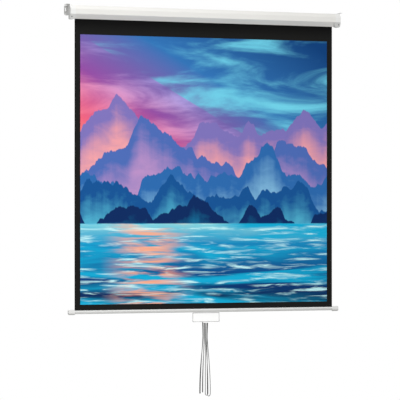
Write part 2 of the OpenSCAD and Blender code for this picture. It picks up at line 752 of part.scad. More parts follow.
// Cord
down_top = concat([cord_ends[0]], [for (x = over_x) [x, saddle_y - over_r]]);
up_top = concat([for (x = over_x) [x, saddle_y + over_r]], [cord_ends[1]]);
function loop_bend_z(i) = saddle_z - loop_low[i] + cord_r + loop_half[i];
function bend_three(a, b, c, s) = s < waist_at ? mix(a, b, ease(s / waist_at))
    : mix(b, c, ease(pow((s - waist_at) / (1 - waist_at), loop_ease)));
function run(top, waist, low, z_low, s) = [bend_three(top[0], waist[0], low[0], s),
    bend_three(top[1], waist[1], low[1], s), mix(saddle_z, z_low, s)];
function low_at(i, side) = [loop_x[i], loop_y] + side * loop_half[i] * [cos(loop_turn[i]), sin(loop_turn[i])];
function down_run(i) = [for (k = [0 : run_rings - 1]) run(down_top[i], [down_waist_x[i], down_waist_y],
    low_at(i, -1), loop_bend_z(i), k / (run_rings - 1))];
function up_run(i) = [for (k = [run_rings - 1 : -1 : 0]) run(up_top[i], [up_waist_x[i], up_waist_y],
    low_at(i, 1), loop_bend_z(i), k / (run_rings - 1))];
function low_fold(i) = [for (k = [1 : fold_rings])
    let (a = 180 * k / (fold_rings + 1), p = low_at(i, -cos(a)))
    [p[0], p[1], loop_bend_z(i) - loop_half[i] * sin(a)]];
function over_fold(i) = i == loops - 1 ? [] : [for (k = [1 : fold_rings])
    let (a = 180 * k / (fold_rings + 1))
    [over_x[i], saddle_y + over_r * cos(a), saddle_z + over_r * sin(a)]];
function cord_end(p) = [for (z = [ledge_z, ledge_z - cord_d]) [p[0], p[1], z]];
cord_path = concat(cord_end(cord_ends[0]),
    [for (i = [0 : loops - 1]) each concat(down_run(i), low_fold(i), up_run(i), over_fold(i))],
    [for (i = [1, 0]) cord_end(cord_ends[1])[i]]);

module pull_cord() color("silver") {
    echo(cord_least_gap = least_gap(cord_path, 4, 24, cord_d), cord_length = path_length(cord_path));
    tube(cord_path, cord_r, cord_sides, [1, 0, 0]);
}

module cord_knots() color("silver") for (p = cord_ends) translate([p[0], p[1], ledge_z]) {
    cylinder(ledge_t + knot_r, r = cord_r);
    translate([0, 0, ledge_t + knot_r]) sphere(knot_r);
}

case_shell();
left_end_cap();
right_end_cap();
left_hanger();
right_hanger();
cap_screws();
hanger_screws();
left_bearing_plate();
right_bearing_plate();
bearing_screws();
idle_bush();
fixed_spindle();
ratchet_wheel();
spring_rod();
spring_anchor();
torsion_spring();
roller_tube();
spring_end_plug();
rod_bush();
idle_end_plug();
gudgeon_pin();
wound_cloth();
pawl_pin();
lock_pawl();
screen_cloth();
weight_bar();
hem_rod();
left_bar_cap();
right_bar_cap();
handle_plate();
handle_screws();
cord_saddle();
saddle_screws();
pull_cord();
cord_knots();
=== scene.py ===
"""Looks of a wall-mounted pull-down projection screen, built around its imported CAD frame.

Lengths are in millimetres where nothing else is said, in the frame of the CAD part: the origin
is on the wall plane midway between the wall holes, +X runs to the right, +Y into the wall, +Z up.
"""

import logging
import math
from dataclasses import dataclass, replace
from enum import Enum
from typing import Any, Iterable, Sequence

import bmesh
import bpy
from mathutils import Matrix, Vector


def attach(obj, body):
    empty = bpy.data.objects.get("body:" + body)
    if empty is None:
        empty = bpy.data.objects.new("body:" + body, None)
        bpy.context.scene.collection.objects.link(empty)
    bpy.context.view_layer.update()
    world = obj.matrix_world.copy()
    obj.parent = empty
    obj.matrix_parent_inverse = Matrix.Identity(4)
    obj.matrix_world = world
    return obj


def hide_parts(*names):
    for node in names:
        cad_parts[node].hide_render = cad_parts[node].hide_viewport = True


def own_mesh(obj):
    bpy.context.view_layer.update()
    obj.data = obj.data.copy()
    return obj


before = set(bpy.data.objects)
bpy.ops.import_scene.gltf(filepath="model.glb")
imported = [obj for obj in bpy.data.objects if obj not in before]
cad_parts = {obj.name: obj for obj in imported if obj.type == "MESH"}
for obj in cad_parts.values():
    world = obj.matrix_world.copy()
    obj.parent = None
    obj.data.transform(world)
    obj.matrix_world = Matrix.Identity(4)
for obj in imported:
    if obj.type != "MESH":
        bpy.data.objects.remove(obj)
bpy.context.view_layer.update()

LOG = logging.getLogger("projection_screen")
MM = 0.001
BLACK = (0.0, 0.0, 0.0, 1.0)
SHARP_ANGLE = 40.0
# Corners as near as this are one, in millimetres.
TOUCHING = 0.001
# Facets of a round bend in sheet metal, and the angle in radians below which two faces of a
# sheet count as flat.
FOLD_STEPS = 5
FLAT = 0.1

# Colour sockets of a Mix node, and the settings that make it mix colours.
MIX_A, MIX_B = 6, 7
MIX_COLOURS = {"out": 2, "data_type": "RGBA"}
SMOOTH = {"interpolation_type": "SMOOTHSTEP"}

Point2 = tuple[float, float]
Point3 = tuple[float, float, float]
Stops = Sequence[tuple[float, str]]
Tree = bpy.types.NodeTree
Socket = bpy.types.NodeSocket
Object = bpy.types.Object
BMesh = bmesh.types.BMesh
Edges = Sequence[bmesh.types.BMEdge]


class Body(Enum):
    """The bodies of the part that a piece can ride on."""

    HOUSING = "housing"
    ROLLER = "roller"
    BAR = "bar"


class Side(Enum):
    """The two ends of the screen, as the sign of X."""

    LEFT = -1
    RIGHT = 1


def linear(hex_code: str) -> tuple[float, float, float, float]:
    """Turn an sRGB hex colour into the linear colour that the shaders take.

    Args:
        hex_code: Six hex digits, such as "E8E8E6".

    Returns:
        Red, green, blue and an alpha of one.
    """
    parts = [int(hex_code[i:i + 2], 16) / 255 for i in (0, 2, 4)]
    red, green, blue = (p / 12.92 if p <= 0.04045 else ((p + 0.055) / 1.055) ** 2.4 for p in parts)
    return red, green, blue, 1.0


def add_node(tree: Tree, kind: str, inputs: dict[int | str, Any] | None = None,
             out: int | str = 0, stops: Stops = (), **settings: Any) -> Socket | None:
    """Add one node to a tree, with its settings, values and links.

    Args:
        tree: The tree of a material or of the world.
        kind: Blender's name of the node type, without "ShaderNode".
        inputs: For each input socket, by name or number, its value or the socket linked to it.
        out: The output socket that is wanted, by name or number.
        stops: The place and sRGB hex colour of each stop of a colour ramp.
        settings: The node's own properties.

    Returns:
        The output socket, or nothing for a node without one.
    """
    node = tree.nodes.new(f"ShaderNode{kind}")
    for name, value in settings.items():
        setattr(node, name, value)
    for key, value in (inputs or {}).items():
        if isinstance(value, Socket):
            tree.links.new(value, node.inputs[key])
        else:
            node.inputs[key].default_value = value
    if stops:
        elements = node.color_ramp.elements
        while len(elements) < len(stops):
            elements.new(1.0)
        for element, (place, code) in zip(elements, stops):
            element.position = place
            element.color = linear(code)
    return node.outputs[out] if len(node.outputs) else None


def woven(tree: Tree, phases: Iterable[Socket]) -> Socket:
    """Cross two sets of waves as the threads of a cloth or plait cross.

    Args:
        tree: The material's tree.
        phases: The phase of each set, in radians.

    Returns:
        The height of the threads, from zero to one.
    """
    waves = [add_node(tree, "Math", {0: phase}, operation="SINE") for phase in phases]
    cross = add_node(tree, "Math", dict(enumerate(waves)), operation="MULTIPLY")
    return add_node(tree, "MapRange", {"Value": cross, "From Min": -1.0, "From Max": 1.0})


@dataclass(frozen=True)
class Finish:
    """A material of the screen and how its surface was made.

    The pattern is a noise on Object coordinates: grain gives its size along X, Y and Z, shade
    how far it darkens the colour, and relief the height of its bumps. Drift is how many slow
    changes of tone there are to a metre.
    """

    name: str
    slot: str
    colour: str
    roughness: float
    metallic: float = 0.0
    grain: Point3 = (2.0, 2.0, 2.0)
    shade: float = 0.04
    relief: float = 0.02
    gloss_spread: float = 0.06
    coat: float = 0.0
    specular: float = 0.5
    octaves: float = 3.0
    drift: float = 4.0
    drift_range: Point2 = (0.1, 0.45)

    def pattern(self, tree: Tree) -> Socket:
        """Make the pattern that varies this finish.

        Args:
            tree: The material's tree.

        Returns:
            The pattern, from zero to one.
        """
        place = add_node(tree, "TexCoord", out="Object")
        cells = Vector([1 / (size * MM) for size in self.grain])
        mapped = add_node(tree, "Mapping", {"Vector": place, "Scale": cells})
        return add_node(tree, "TexNoise", {
            "Vector": mapped, "Scale": 1.0, "Detail": self.octaves})

    def colour_from(self, tree: Tree, pattern: Socket) -> Socket:
        """Darken the colour by the pattern and by slow drifts in tone.

        Args:
            tree: The material's tree.
            pattern: The pattern, from zero to one.

        Returns:
            The colour.
        """
        place = add_node(tree, "TexCoord", out="Object")
        drift = add_node(tree, "TexNoise", {"Vector": place, "Scale": self.drift, "Detail": 2.0})
        both = add_node(tree, "Math", {0: pattern, 1: drift}, operation="MULTIPLY")
        low, high = self.drift_range
        level = add_node(tree, "MapRange", {
            "Value": both, "From Min": low, "From Max": high, "To Min": 1 - self.shade})
        return add_node(tree, "Mix", {
            "Factor": level, MIX_A: BLACK, MIX_B: linear(self.colour)}, **MIX_COLOURS)

    def material(self) -> bpy.types.Material:
        """Make the material once, and return the same one afterwards.

        Returns:
            The material.
        """
        known = bpy.data.materials.get(self.name)
        if known is not None:
            return known
        made = bpy.data.materials.new(self.name)
        made.use_nodes = True
        tree = made.node_tree
        tree.nodes.clear()
        pattern = self.pattern(tree)
        rough = add_node(tree, "MapRange", {
            "Value": pattern, "To Min": self.roughness - self.gloss_spread,
            "To Max": self.roughness + self.gloss_spread})
        bump = add_node(tree, "Bump", {
            "Height": pattern, "Strength": 1.0, "Distance": self.relief * MM})
        shader = add_node(tree, "BsdfPrincipled", {
            "Base Color": self.colour_from(tree, pattern), "Roughness": rough, "Normal": bump,
            "Metallic": self.metallic, "Coat Weight": self.coat,
            "Specular IOR Level": self.specular})
        add_node(tree, "OutputMaterial", {"Surface": shader})
        return made


@dataclass(frozen=True)
class PaintedShadeBelow(Finish):
    """Surface whose part below a seam is painted darker than the part above it: painted shade on
    the faces that turn down, away from the light.
    """

    shade_below_colour: str = "C8C8C6"
    seam_z: float = -32.5
    seam_soft: float = 1.0
    low_shade: float = 0.16

    def colour_from(self, tree: Tree, pattern: Socket) -> Socket:
        """Return the colour above the seam and a darker one below it, as painted shade.

        Args:
            tree: The material's tree.
            pattern: The pattern, from zero to one.

        Returns:
            The colour.
        """
        upper = super().colour_from(tree, pattern)
        place = add_node(tree, "TexCoord", out="Object")
        height = add_node(tree, "SeparateXYZ", {0: place}, out=2)
        # Painted shade: below the seam the colour turns to a darker copy, which stands in for the
        # shade on the lower faces.
        below = add_node(tree, "MapRange", {
            "Value": height, "From Min": (self.seam_z - self.seam_soft) * MM,
            "From Max": (self.seam_z + self.seam_soft) * MM, "To Min": 1.0, "To Max": 0.0})
        spark = add_node(tree, "Math", {
            0: pattern, 1: self.low_shade, 2: 1 - self.low_shade / 2}, operation="MULTIPLY_ADD")
        lower = add_node(tree, "Mix", {
            "Factor": spark, MIX_A: BLACK, MIX_B: linear(self.shade_below_colour)}, **MIX_COLOURS)
        return add_node(tree, "Mix", {
            "Factor": below, MIX_A: upper, MIX_B: lower}, **MIX_COLOURS)


@dataclass(frozen=True)
class Spangled(Finish):
    """Hot-dip galvanised sheet: flat crystals, each with its own grey and gloss."""

    crystal: float = 9.0
    warp: float = 0.3
    bend: float = 0.004
    crystal_share: float = 0.75

    def pattern(self, tree: Tree) -> Socket:
        """Make crystals of zinc with a fine grain inside them.

        Args:
            tree: The material's tree.

        Returns:
            The pattern, from zero to one.
        """
        place = add_node(tree, "TexCoord", out="Object")
        cells = 1 / (self.crystal * MM)
        warp = add_node(tree, "TexNoise", {"Vector": place, "Scale": self.warp * cells}, "Color")
        bent = add_node(tree, "Mix", {"Factor": self.bend, 4: place, 5: warp}, out=1,
                        data_type="VECTOR")
        crystals = add_node(tree, "TexVoronoi", {"Vector": bent, "Scale": cells}, "Color")
        grey = add_node(tree, "RGBToBW", {0: crystals})
        both = add_node(tree, "Math", {0: grey, 1: self.crystal_share}, operation="MULTIPLY")
        return add_node(tree, "Math", {
            0: super().pattern(tree), 1: 1 - self.crystal_share, 2: both},
            operation="MULTIPLY_ADD")


@dataclass(frozen=True)
class Braided(Finish):
    """Round cord of plaited polyester, its yarns crossing along it, with painted shade in the gaps
    where the plait sinks.
    """

    # Painted shade: the colour of the gaps where the plait sinks.
    dark: str = "222221"
    length: float = 4180.3
    pitch: float = 12.0
    yarns: float = 4.0
    wear: float = 18.0
    plait_share: float = 0.6
    dark_until: float = 0.45

    def pattern(self, tree: Tree) -> Socket:
        """Make the plait, high in the middle of each yarn.

        The real plait repeats every 4 mm, which is too fine to show, so the pitch is three
        times as long.

        Args:
            tree: The material's tree.

        Returns:
            The height of the yarn, from zero to one.
        """
        place = add_node(tree, "TexCoord", out="UV")
        along, around, _ = add_node(tree, "SeparateXYZ", {0: place}).node.outputs
        turns = add_node(tree, "Math", {
            0: along, 1: math.tau * self.length / self.pitch}, operation="MULTIPLY")
        return woven(tree, [add_node(tree, "Math", {
            0: around, 1: sign * math.tau * self.yarns, 2: turns},
            operation="MULTIPLY_ADD") for sign in (-1, 1)])

    def colour_from(self, tree: Tree, pattern: Socket) -> Socket:
        """Return the yarn's colour where the plait is high and painted shade where it is low.

        Args:
            tree: The material's tree.
            pattern: The height of the yarn, from zero to one.

        Returns:
            The colour.
        """
        place = add_node(tree, "TexCoord", out="Object")
        worn = add_node(tree, "TexNoise", {"Vector": place, "Scale": self.wear, "Detail": 2.0})
        both = add_node(tree, "Math", {0: pattern, 1: self.plait_share, 2: worn},
                        operation="MULTIPLY_ADD")
        return add_node(tree, "ValToRGB", {"Fac": both}, stops=[
            (self.dark_until, self.dark), (1.0, self.colour)])


@dataclass(frozen=True)
class CoatedCloth(Finish):
    """Glass-fibre cloth with a matt coating, on which the border and a picture are printed.

    The cloth's UV map runs from zero to one over the whole sheet, so the print stays with the
    cloth when it is rolled up. The border is painted darker at its top: a painted shadow of
    the case above it.
    """

    width: float = 1854.0
    height: float = 1970.0
    picture_left: float = 39.8
    picture_low: float = 42.0
    picture_width: float = 1775.6
    picture_height: float = 1778.0
    # Painted shadow of the case: the darker black at the top of the border.
    case_shadow_colour: str = "0B0B0B"
    case_shadow_span: Point2 = (0.1, 0.42)
    thread: float = 3.0

    def pattern(self, tree: Tree) -> Socket:
        """Make the plain weave that shows through the coating.

        The threads are 0.5 mm apart, which is too fine to show, so they are drawn 3 mm apart.

        Args:
            tree: The material's tree.

        Returns:
            The height of the threads, from zero to one.
        """
        place = add_node(tree, "TexCoord", out="UV")
        return woven(tree, [add_node(tree, "Math", {
            0: add_node(tree, "SeparateXYZ", {0: place}, out=axis),
            1: math.tau * size / self.thread}, operation="MULTIPLY")
            for axis, size in enumerate((self.width, self.height))])

    def colour_from(self, tree: Tree, pattern: Socket) -> Socket:
        """Return the picture inside its frame and the black border outside it.

        Args:
            tree: The material's tree.
            pattern: The height of the threads; not used.

        Returns:
            The colour.
        """
        place = add_node(tree, "Mapping", {
            "Vector": add_node(tree, "TexCoord", out="UV"),
            "Scale": (self.width / self.picture_width, self.height / self.picture_height, 1.0),
            "Location": (-self.picture_left / self.picture_width,
                         -self.picture_low / self.picture_height, 0.0)})
        across, up, _ = add_node(tree, "SeparateXYZ", {0: place}).node.outputs
        within = []
        for value in (across, up):
            off = add_node(tree, "Math", {0: value, 1: 0.5}, operation="SUBTRACT")
            away = add_node(tree, "Math", {0: off}, operation="ABSOLUTE")
            within.append(add_node(tree, "Math", {0: away, 1: 0.5}, operation="LESS_THAN"))
        inside = add_node(tree, "Math", dict(enumerate(within)), operation="MULTIPLY")
        # Painted shadow: the border darkens towards its top, under the case.
        shaded = add_node(tree, "MapRange", {
            "Value": up, "From Min": 1.0, "From Max": self.height / self.picture_height})
        border = add_node(tree, "ValToRGB", {"Fac": shaded}, stops=[
            (self.case_shadow_span[0], self.colour), (self.case_shadow_span[1], self.case_shadow_colour)])
        view = DuskView(tree, place, across, up).colour()
        return add_node(tree, "Mix", {
            "Factor": inside, MIX_A: border, MIX_B: view}, **MIX_COLOURS)


@dataclass(frozen=True)
class Streaks:
    """Soft streaks of noise in the picture.

    Across and up are how many there are each way, slant is in degrees, and low and high are
    the noise values that give zero and one.
    """

    across: float
    up: float
    seed: float
    slant: float
    octaves: float
    low: float
    high: float
    harshness: float = 0.55
    swirl: float = 0.6

    def lay(self, tree: Tree, place: Socket) -> Socket:
        """Lay the streaks over the picture.

        Args:
            tree: The material's tree.
            place: The place in the picture.

        Returns:
            The streaks, from zero to one.
        """
        turned = add_node(tree, "Mapping", {
            "Vector": place, "Rotation": (0.0, 0.0, math.radians(self.slant)),
            "Scale": (self.across, self.up, 1.0), "Location": (self.seed,) * 3})
        noise = add_node(tree, "TexNoise", {
            "Vector": turned, "Scale": 1.0, "Detail": self.octaves,
            "Roughness": self.harshness, "Distortion": self.swirl})
        return add_node(tree, "MapRange", {
            "Value": noise, "From Min": self.low, "From Max": self.high}, **SMOOTH)


@dataclass(frozen=True)
class Ridge:
    """One misty ridge: middle height, rise and fall of its outline, and its two colours."""

    base: float
    swing: float
    crest: str
    mist: str


@dataclass
class DuskView:
    """A generic dusk view: streaked sky, five misty ridges and a rippled lake.

    Place, across and up give the place in the picture, and its heights and widths are shares
    of the picture too. The farthest ridge is the first, and every nearer one has more peaks
    and slopes across it.
    """

    tree: Tree
    place: Socket
    across: Socket
    up: Socket
    horizon: float = 0.3
    shore: float = 0.002
    edge: float = 0.004
    mist_depth: float = 0.19
    slope_mist: float = -0.28
    peaks: float = 2.1
    more_peaks: float = 0.5
    peaks_seed: float = 7.3
    crag: float = 0.5
    crag_octaves: float = 7.0
    outline_range: Point2 = (0.25, 0.75)
    slopes: Streaks = Streaks(9.0, 22.0, 5.0, 38.0, 5.0, 0.3, 0.75)
    sky_slant: float = 0.55
    sky_range: Point2 = (0.35, 1.5)
    sky: Stops = ((0.0, "FFD9A6"), (0.16, "FF9E6B"), (0.3, "E8607A"), (0.46, "8C4A9C"),
                  (0.68, "2F6FB0"), (1.0, "0B3E78"))
    # The slant runs past one at the upper right, where a cloud takes the last of these colours.
    lit_cloud: Stops = ((0.4, "FFC08A"), (0.75, "F2809A"), (1.0, "A8A0E0"), (1.0, "6FD0E6"))
    clouds: Streaks = Streaks(2.2, 9.0, 3.0, -14.0, 6.0, 0.42, 0.68)
    ridges: tuple[Ridge, ...] = (
        Ridge(0.66, 0.14, "7A6FB4", "F0A0A0"), Ridge(0.57, 0.13, "4A68B0", "B58CC0"),
        Ridge(0.49, 0.12, "2A66A8", "7FB6D8"), Ridge(0.42, 0.10, "12508F", "4FB0CC"),
        Ridge(0.34, 0.08, "06285C", "1583AE"))
    water: Stops = ((0.0, "03183F"), (0.35, "06407E"), (0.75, "1384B8"), (1.0, "7FD0DC"))
    swells: Streaks = Streaks(1.3, 16.0, 11.0, 2.0, 4.0, 0.38, 0.62)
    ripples: Streaks = Streaks(7.0, 70.0, 23.0, 0.0, 4.0, 0.5, 0.72)
    flecks: Streaks = Streaks(5.0, 48.0, 31.0, 0.0, 3.0, 0.4, 0.6)
    swell_tint: str = "0FA6CF"
    ripple_tint: str = "BFEFF2"
    glow_tint: str = "FFA77C"
    glow_at: float = 0.27
    glow_reach: float = 0.2
    glow_most: float = 0.85

    def paint_sky(self) -> Socket:
        """Paint the sky, warm at the left horizon and blue at the upper right.

        Returns:
            The colour.
        """
        slant = add_node(self.tree, "Math", {0: self.across, 1: self.sky_slant, 2: self.up},
                         operation="MULTIPLY_ADD")
        level = add_node(self.tree, "MapRange", {
            "Value": slant, "From Min": self.sky_range[0], "From Max": self.sky_range[1]})
        base = add_node(self.tree, "ValToRGB", {"Fac": level}, stops=self.sky)
        lit = add_node(self.tree, "ValToRGB", {"Fac": slant}, stops=self.lit_cloud)
        return add_node(self.tree, "Mix", {
            "Factor": self.clouds.lay(self.tree, self.place), MIX_A: base, MIX_B: lit},
            **MIX_COLOURS)

    def paint_ridge(self, number: int, ridge: Ridge, behind: Socket) -> Socket:
        """Lay one ridge over what is behind it.

        Args:
            number: Number of the ridge, which seeds its outline.
            ridge: The ridge.
            behind: The colour behind it.

        Returns:
            The colour.
        """
        walk = add_node(self.tree, "Math", {
            0: self.across, 1: self.peaks + self.more_peaks * number,
            2: self.peaks_seed * number}, operation="MULTIPLY_ADD")
        outline = add_node(self.tree, "TexNoise", {
            "W": walk, "Scale": 1.0, "Detail": self.crag_octaves, "Roughness": self.crag},
            noise_dimensions="1D")
        top = add_node(self.tree, "MapRange", {
            "Value": outline, "From Min": self.outline_range[0],
            "From Max": self.outline_range[1],
            "To Min": ridge.base - ridge.swing, "To Max": ridge.base + ridge.swing}, clamp=False)
        depth = add_node(self.tree, "Math", {0: top, 1: self.up}, operation="SUBTRACT")
        cover = add_node(self.tree, "MapRange", {"Value": depth, "From Max": self.edge})
        slopes = replace(self.slopes, across=self.slopes.across + 2 * number,
                         seed=self.slopes.seed * number)
        faded = add_node(self.tree, "MapRange", {
            "Value": depth, "From Max": self.mist_depth}, **SMOOTH)
        thin = add_node(self.tree, "Math", {
            0: slopes.lay(self.tree, self.place), 1: self.slope_mist, 2: faded},
            operation="MULTIPLY_ADD")
        face = add_node(self.tree, "Mix", {
            "Factor": thin, MIX_A: linear(ridge.crest), MIX_B: linear(ridge.mist)},
            **MIX_COLOURS)
        return add_node(self.tree, "Mix", {
            "Factor": cover, MIX_A: behind, MIX_B: face}, **MIX_COLOURS)

    def paint_lake(self) -> Socket:
        """Paint the lake, with broad swells, ripples and the glow of the sky in it.

        Returns:
            The colour.
        """
        level = add_node(self.tree, "MapRange", {"Value": self.up, "From Max": self.horizon})
        water = add_node(self.tree, "ValToRGB", {"Fac": level}, stops=self.water)
        for streaks, tint in ((self.swells, self.swell_tint), (self.ripples, self.ripple_tint)):
            water = add_node(self.tree, "Mix", {
                "Factor": streaks.lay(self.tree, self.place), MIX_A: water,
                MIX_B: linear(tint)}, **MIX_COLOURS)
        off = add_node(self.tree, "Math", {0: self.across, 1: self.glow_at}, operation="SUBTRACT")
        away = add_node(self.tree, "Math", {0: off}, operation="ABSOLUTE")
        lane = add_node(self.tree, "MapRange", {
            "Value": away, "From Max": self.glow_reach, "To Min": self.glow_most, "To Max": 0.0},
            **SMOOTH)
        glow = add_node(self.tree, "Math", {
            0: lane, 1: self.flecks.lay(self.tree, self.place)}, operation="MULTIPLY")
        return add_node(self.tree, "Mix", {
            "Factor": glow, MIX_A: water, MIX_B: linear(self.glow_tint)}, **MIX_COLOURS)

    def colour(self) -> Socket:
        """Paint the whole view, from the back to the front.

        Returns:
            The colour.
        """
        view = self.paint_sky()
        for number, ridge in enumerate(self.ridges, 1):
            view = self.paint_ridge(number, ridge, view)
        above = add_node(self.tree, "MapRange", {
            "Value": self.up, "From Min": self.horizon - self.shore,
            "From Max": self.horizon + self.shore})
        return add_node(self.tree, "Mix", {
            "Factor": above, MIX_A: self.paint_lake(), MIX_B: view}, **MIX_COLOURS)


# Enamel stoved on roll-formed steel: an even satin white, with a faint orange peel.
CASE_ENAMEL = Finish("stoved_enamel_on_steel", "case_enamel", "DFDEDA", 0.38,
                     grain=(1.6, 1.6, 1.6), shade=0.03, relief=0.015)
# Injection-moulded ABS: a fine matt texture; the lobe below the cover is painted darker, as painted
# shade on it.
CAP_PLASTIC = PaintedShadeBelow("moulded_abs_cap", "cap_plastic", "E2E2E0", 0.48, grain=(0.8, 0.8, 0.8),
                       relief=0.03)
# Steel galvanised in a bath of zinc: grey crystals that catch the light one by one.
GALVANISED = Spangled("galvanised_sheet", "hanger_steel", "CFCFCD", 0.42, metallic=0.75,
                      grain=(0.6, 0.6, 0.6), shade=0.35, gloss_spread=0.12)
# Black oxide on a steel screw: near black, with a dull gleam on its rim.
BLACKED = Finish("black_oxide_screw", "dark_screw", "2A2A2C", 0.4, metallic=0.6,
                 grain=(0.5, 0.5, 0.5))
# Zinc plating on a steel screw: bright and a little blue, with a fine grain.
ZINCED = Finish("zinc_plated_screw", "bright_screw", "B9BBBE", 0.32, metallic=1.0,
                grain=(0.5, 0.5, 0.5), shade=0.1)
# Zinc plating on pressed sheet: grey, with the lines of the rolling mill along it.
PRESSED = Finish("zinc_plated_pressing", "bearing_steel", "A6A9AD", 0.38, metallic=1.0,
                 grain=(6.0, 0.5, 0.5), shade=0.12)
# Natural nylon, moulded: a waxy cream with soft highlights.
NYLON = Finish("natural_nylon", "nylon", "DCD8CC", 0.42, grain=(1.2, 1.2, 1.2), shade=0.05)
# Steel turned bright on a lathe: tight rings round it, which draw the highlights out along it.
TURNED = Finish("turned_bright_steel", "turned_steel", "B4B6B8", 0.28, metallic=1.0,
                grain=(0.4, 30.0, 30.0), shade=0.15, relief=0.008)
# Brass stamped from sheet: a warm yellow with a fine dull grain.
BRASS = Finish("stamped_brass", "ratchet_brass", "C7A253", 0.34, metallic=1.0,
               grain=(0.8, 0.8, 0.8), shade=0.12)
# Drawn spring wire under oil: dark, with long glossy lines.
OILED_WIRE = Finish("oiled_spring_wire", "spring_steel", "6C6F74", 0.3, metallic=1.0,
                    grain=(8.0, 0.6, 0.6), shade=0.15)
# Aluminium tube as it leaves the die: pale, with fine lines from end to end.
MILL_TUBE = Finish("drawn_aluminium_tube", "roller_aluminium", "C3C5C7", 0.36, metallic=1.0,
                   grain=(40.0, 0.5, 0.5), shade=0.1, relief=0.006)
# Satin enamel on an aluminium extrusion: faint die lines; its lower half is painted darker, as
# painted shade on the curve underneath.
BAR_ENAMEL = PaintedShadeBelow("enamelled_extrusion", "bar_enamel", "E4E4E2", 0.36,
                      grain=(30.0, 0.8, 0.8), shade=0.03, relief=0.008, shade_below_colour="C2C2C0",
                      seam_z=-1986.0, seam_soft=2.5)
# Extruded PVC rod: dark and even, with faint lines along it.
HEM_PLASTIC = Finish("extruded_pvc_rod", "hem_plastic", "3A3A3A", 0.5, grain=(20.0, 0.8, 0.8),
                     shade=0.08)
# Injection-moulded ABS: as matt as the end caps; painted darker round the lower edge, as painted
# shade there.
BAR_CAP = PaintedShadeBelow("moulded_abs_bar_cap", "bar_cap_plastic", "DDDDDB", 0.46,
                   grain=(0.8, 0.8, 0.8), relief=0.03, shade_below_colour="BABAB8", seam_z=-1996.0,
                   seam_soft=1.5)
# ABS from a polished mould: the brightest white of the screen, smooth under a thin gloss.
HANDLE_PLASTIC = Finish("polished_abs_plate", "handle_plastic", "FBFBFA", 0.25,
                        grain=(3.0, 3.0, 3.0), shade=0.015, relief=0.004, coat=0.2)
# The same ABS inside the groove, painted grey: painted shade in the groove, which draws a thin grey
# line round the plate.
PLATE_GROOVE_SHADE = Finish("groove_painted_shade", "handle_plastic", "7C7C7A", 0.7, grain=(1.0, 1.0, 1.0),
                    shade=0.05)
# Injection-moulded ABS behind the plate: a plain matt grey white.
SADDLE_PLASTIC = Finish("moulded_abs_saddle", "saddle_plastic", "CFCFCC", 0.5,
                        grain=(0.8, 0.8, 0.8), shade=0.05, relief=0.03)
# Polyester yarn plaited round: dull, with painted shade in the gaps between the crowns.
CORD = Braided("plaited_polyester_cord", "braided_cord", "464643", 0.8, specular=0.2,
               relief=0.35, gloss_spread=0.03)
# Glass-fibre cloth with a matt coating: deep flat colours, with the weave just showing.
SCREEN_CLOTH = CoatedCloth("printed_glass_fibre_cloth", "screen_fabric", "161615", 0.75,
                           relief=0.06, gloss_spread=0.04, specular=0.08)
# The uncoated back of that cloth: an opaque dull black with a dry grain.
CLOTH_BACK = Finish("black_cloth_back", "screen_fabric", "1E1E1E", 0.8, grain=(0.7, 0.7, 0.7),
                    shade=0.12, relief=0.04, specular=0.15)
# Matt paint on a studio floor: a pale plain ground that takes a soft shadow.
FLOOR_PAINT = Finish("pale_floor", "", "E4E4E2", 0.8, grain=(4.0, 4.0, 4.0))


def add_object(name: str, data: bpy.types.ID) -> Object:
    """Add an object to the scene, at the origin.

    Args:
        name: Its name.
        data: Its mesh, curve, lamp or camera.

    Returns:
        The object.
    """
    obj = bpy.data.objects.new(name, data)
    bpy.context.scene.collection.objects.link(obj)
    return obj


def settle(obj: Object, finish: Finish, body: Body, stands_for: Sequence[str] = ()) -> Object:
    """Dress a piece, let it ride on its body and hide the solids that it stands for.

    Args:
        obj: The piece, already in place.
        finish: What it is made of.
        body: The body that carries it.
        stands_for: The CAD nodes that it replaces.

    Returns:
        The piece.
    """
    if not obj.data.materials:
        obj.data.materials.append(finish.material())
    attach(obj, body.value)
    if stands_for:
        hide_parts(*stands_for)
    LOG.info("%s: %s on the %s", obj.name, finish.name, body.value)
    return obj


def finished_mesh(bm: BMesh, name: str, flat: float = SHARP_ANGLE) -> bpy.types.Mesh:
    """Turn a bmesh in millimetres into a smooth-shaded mesh in metres.

    Args:
        bm: The shape, which is freed.
        name: Name of the mesh.
        flat: Angle in degrees from which an edge counts as sharp.

    Returns:
        The mesh.
    """
    bmesh.ops.scale(bm, verts=bm.verts, vec=(MM, MM, MM))
    mesh = bpy.data.meshes.new(name)
    bm.to_mesh(mesh)
    bm.free()
    mesh.shade_smooth()
    mesh.set_sharp_from_angle(angle=math.radians(flat))
    return mesh


def piece(bm: BMesh, name: str, finish: Finish, body: Body, stands_for: Sequence[str] = (),
          edge: float = 0.0, flat: float = SHARP_ANGLE) -> Object:
    """Turn a bmesh in millimetres into a finished piece.

    Args:
        bm: The shape, which is freed.
        name: Name of the piece.
        finish: What it is made of.
        body: The body that carries it.
        stands_for: The CAD nodes that it replaces.
        edge: Radius of the small rounding along sharp edges, in millimetres.
        flat: Angle in degrees from which an edge counts as sharp.

    Returns:
        The piece.
    """
    bmesh.ops.remove_doubles(bm, verts=bm.verts, dist=TOUCHING)
    bmesh.ops.recalc_face_normals(bm, faces=bm.faces)
    obj = add_object(name, finished_mesh(bm, name, flat))
    if edge:
        round_edges(obj, edge)
    return settle(obj, finish, body, stands_for)


def round_edges(obj: Object, radius: float) -> None:
    """Round a piece's sharp edges with a modifier.

    Args:
        obj: The piece.
        radius: Radius in millimetres.
    """
    bevel = obj.modifiers.new("edge_radius", "BEVEL")
    bevel.width = radius * MM
    bevel.segments = 2
    bevel.limit_method = "ANGLE"
    bevel.angle_limit = math.radians(SHARP_ANGLE)
    bevel.harden_normals = False
    even = obj.modifiers.new("even_shading", "WEIGHTED_NORMAL")
    even.keep_sharp = True
    even.weight = 90


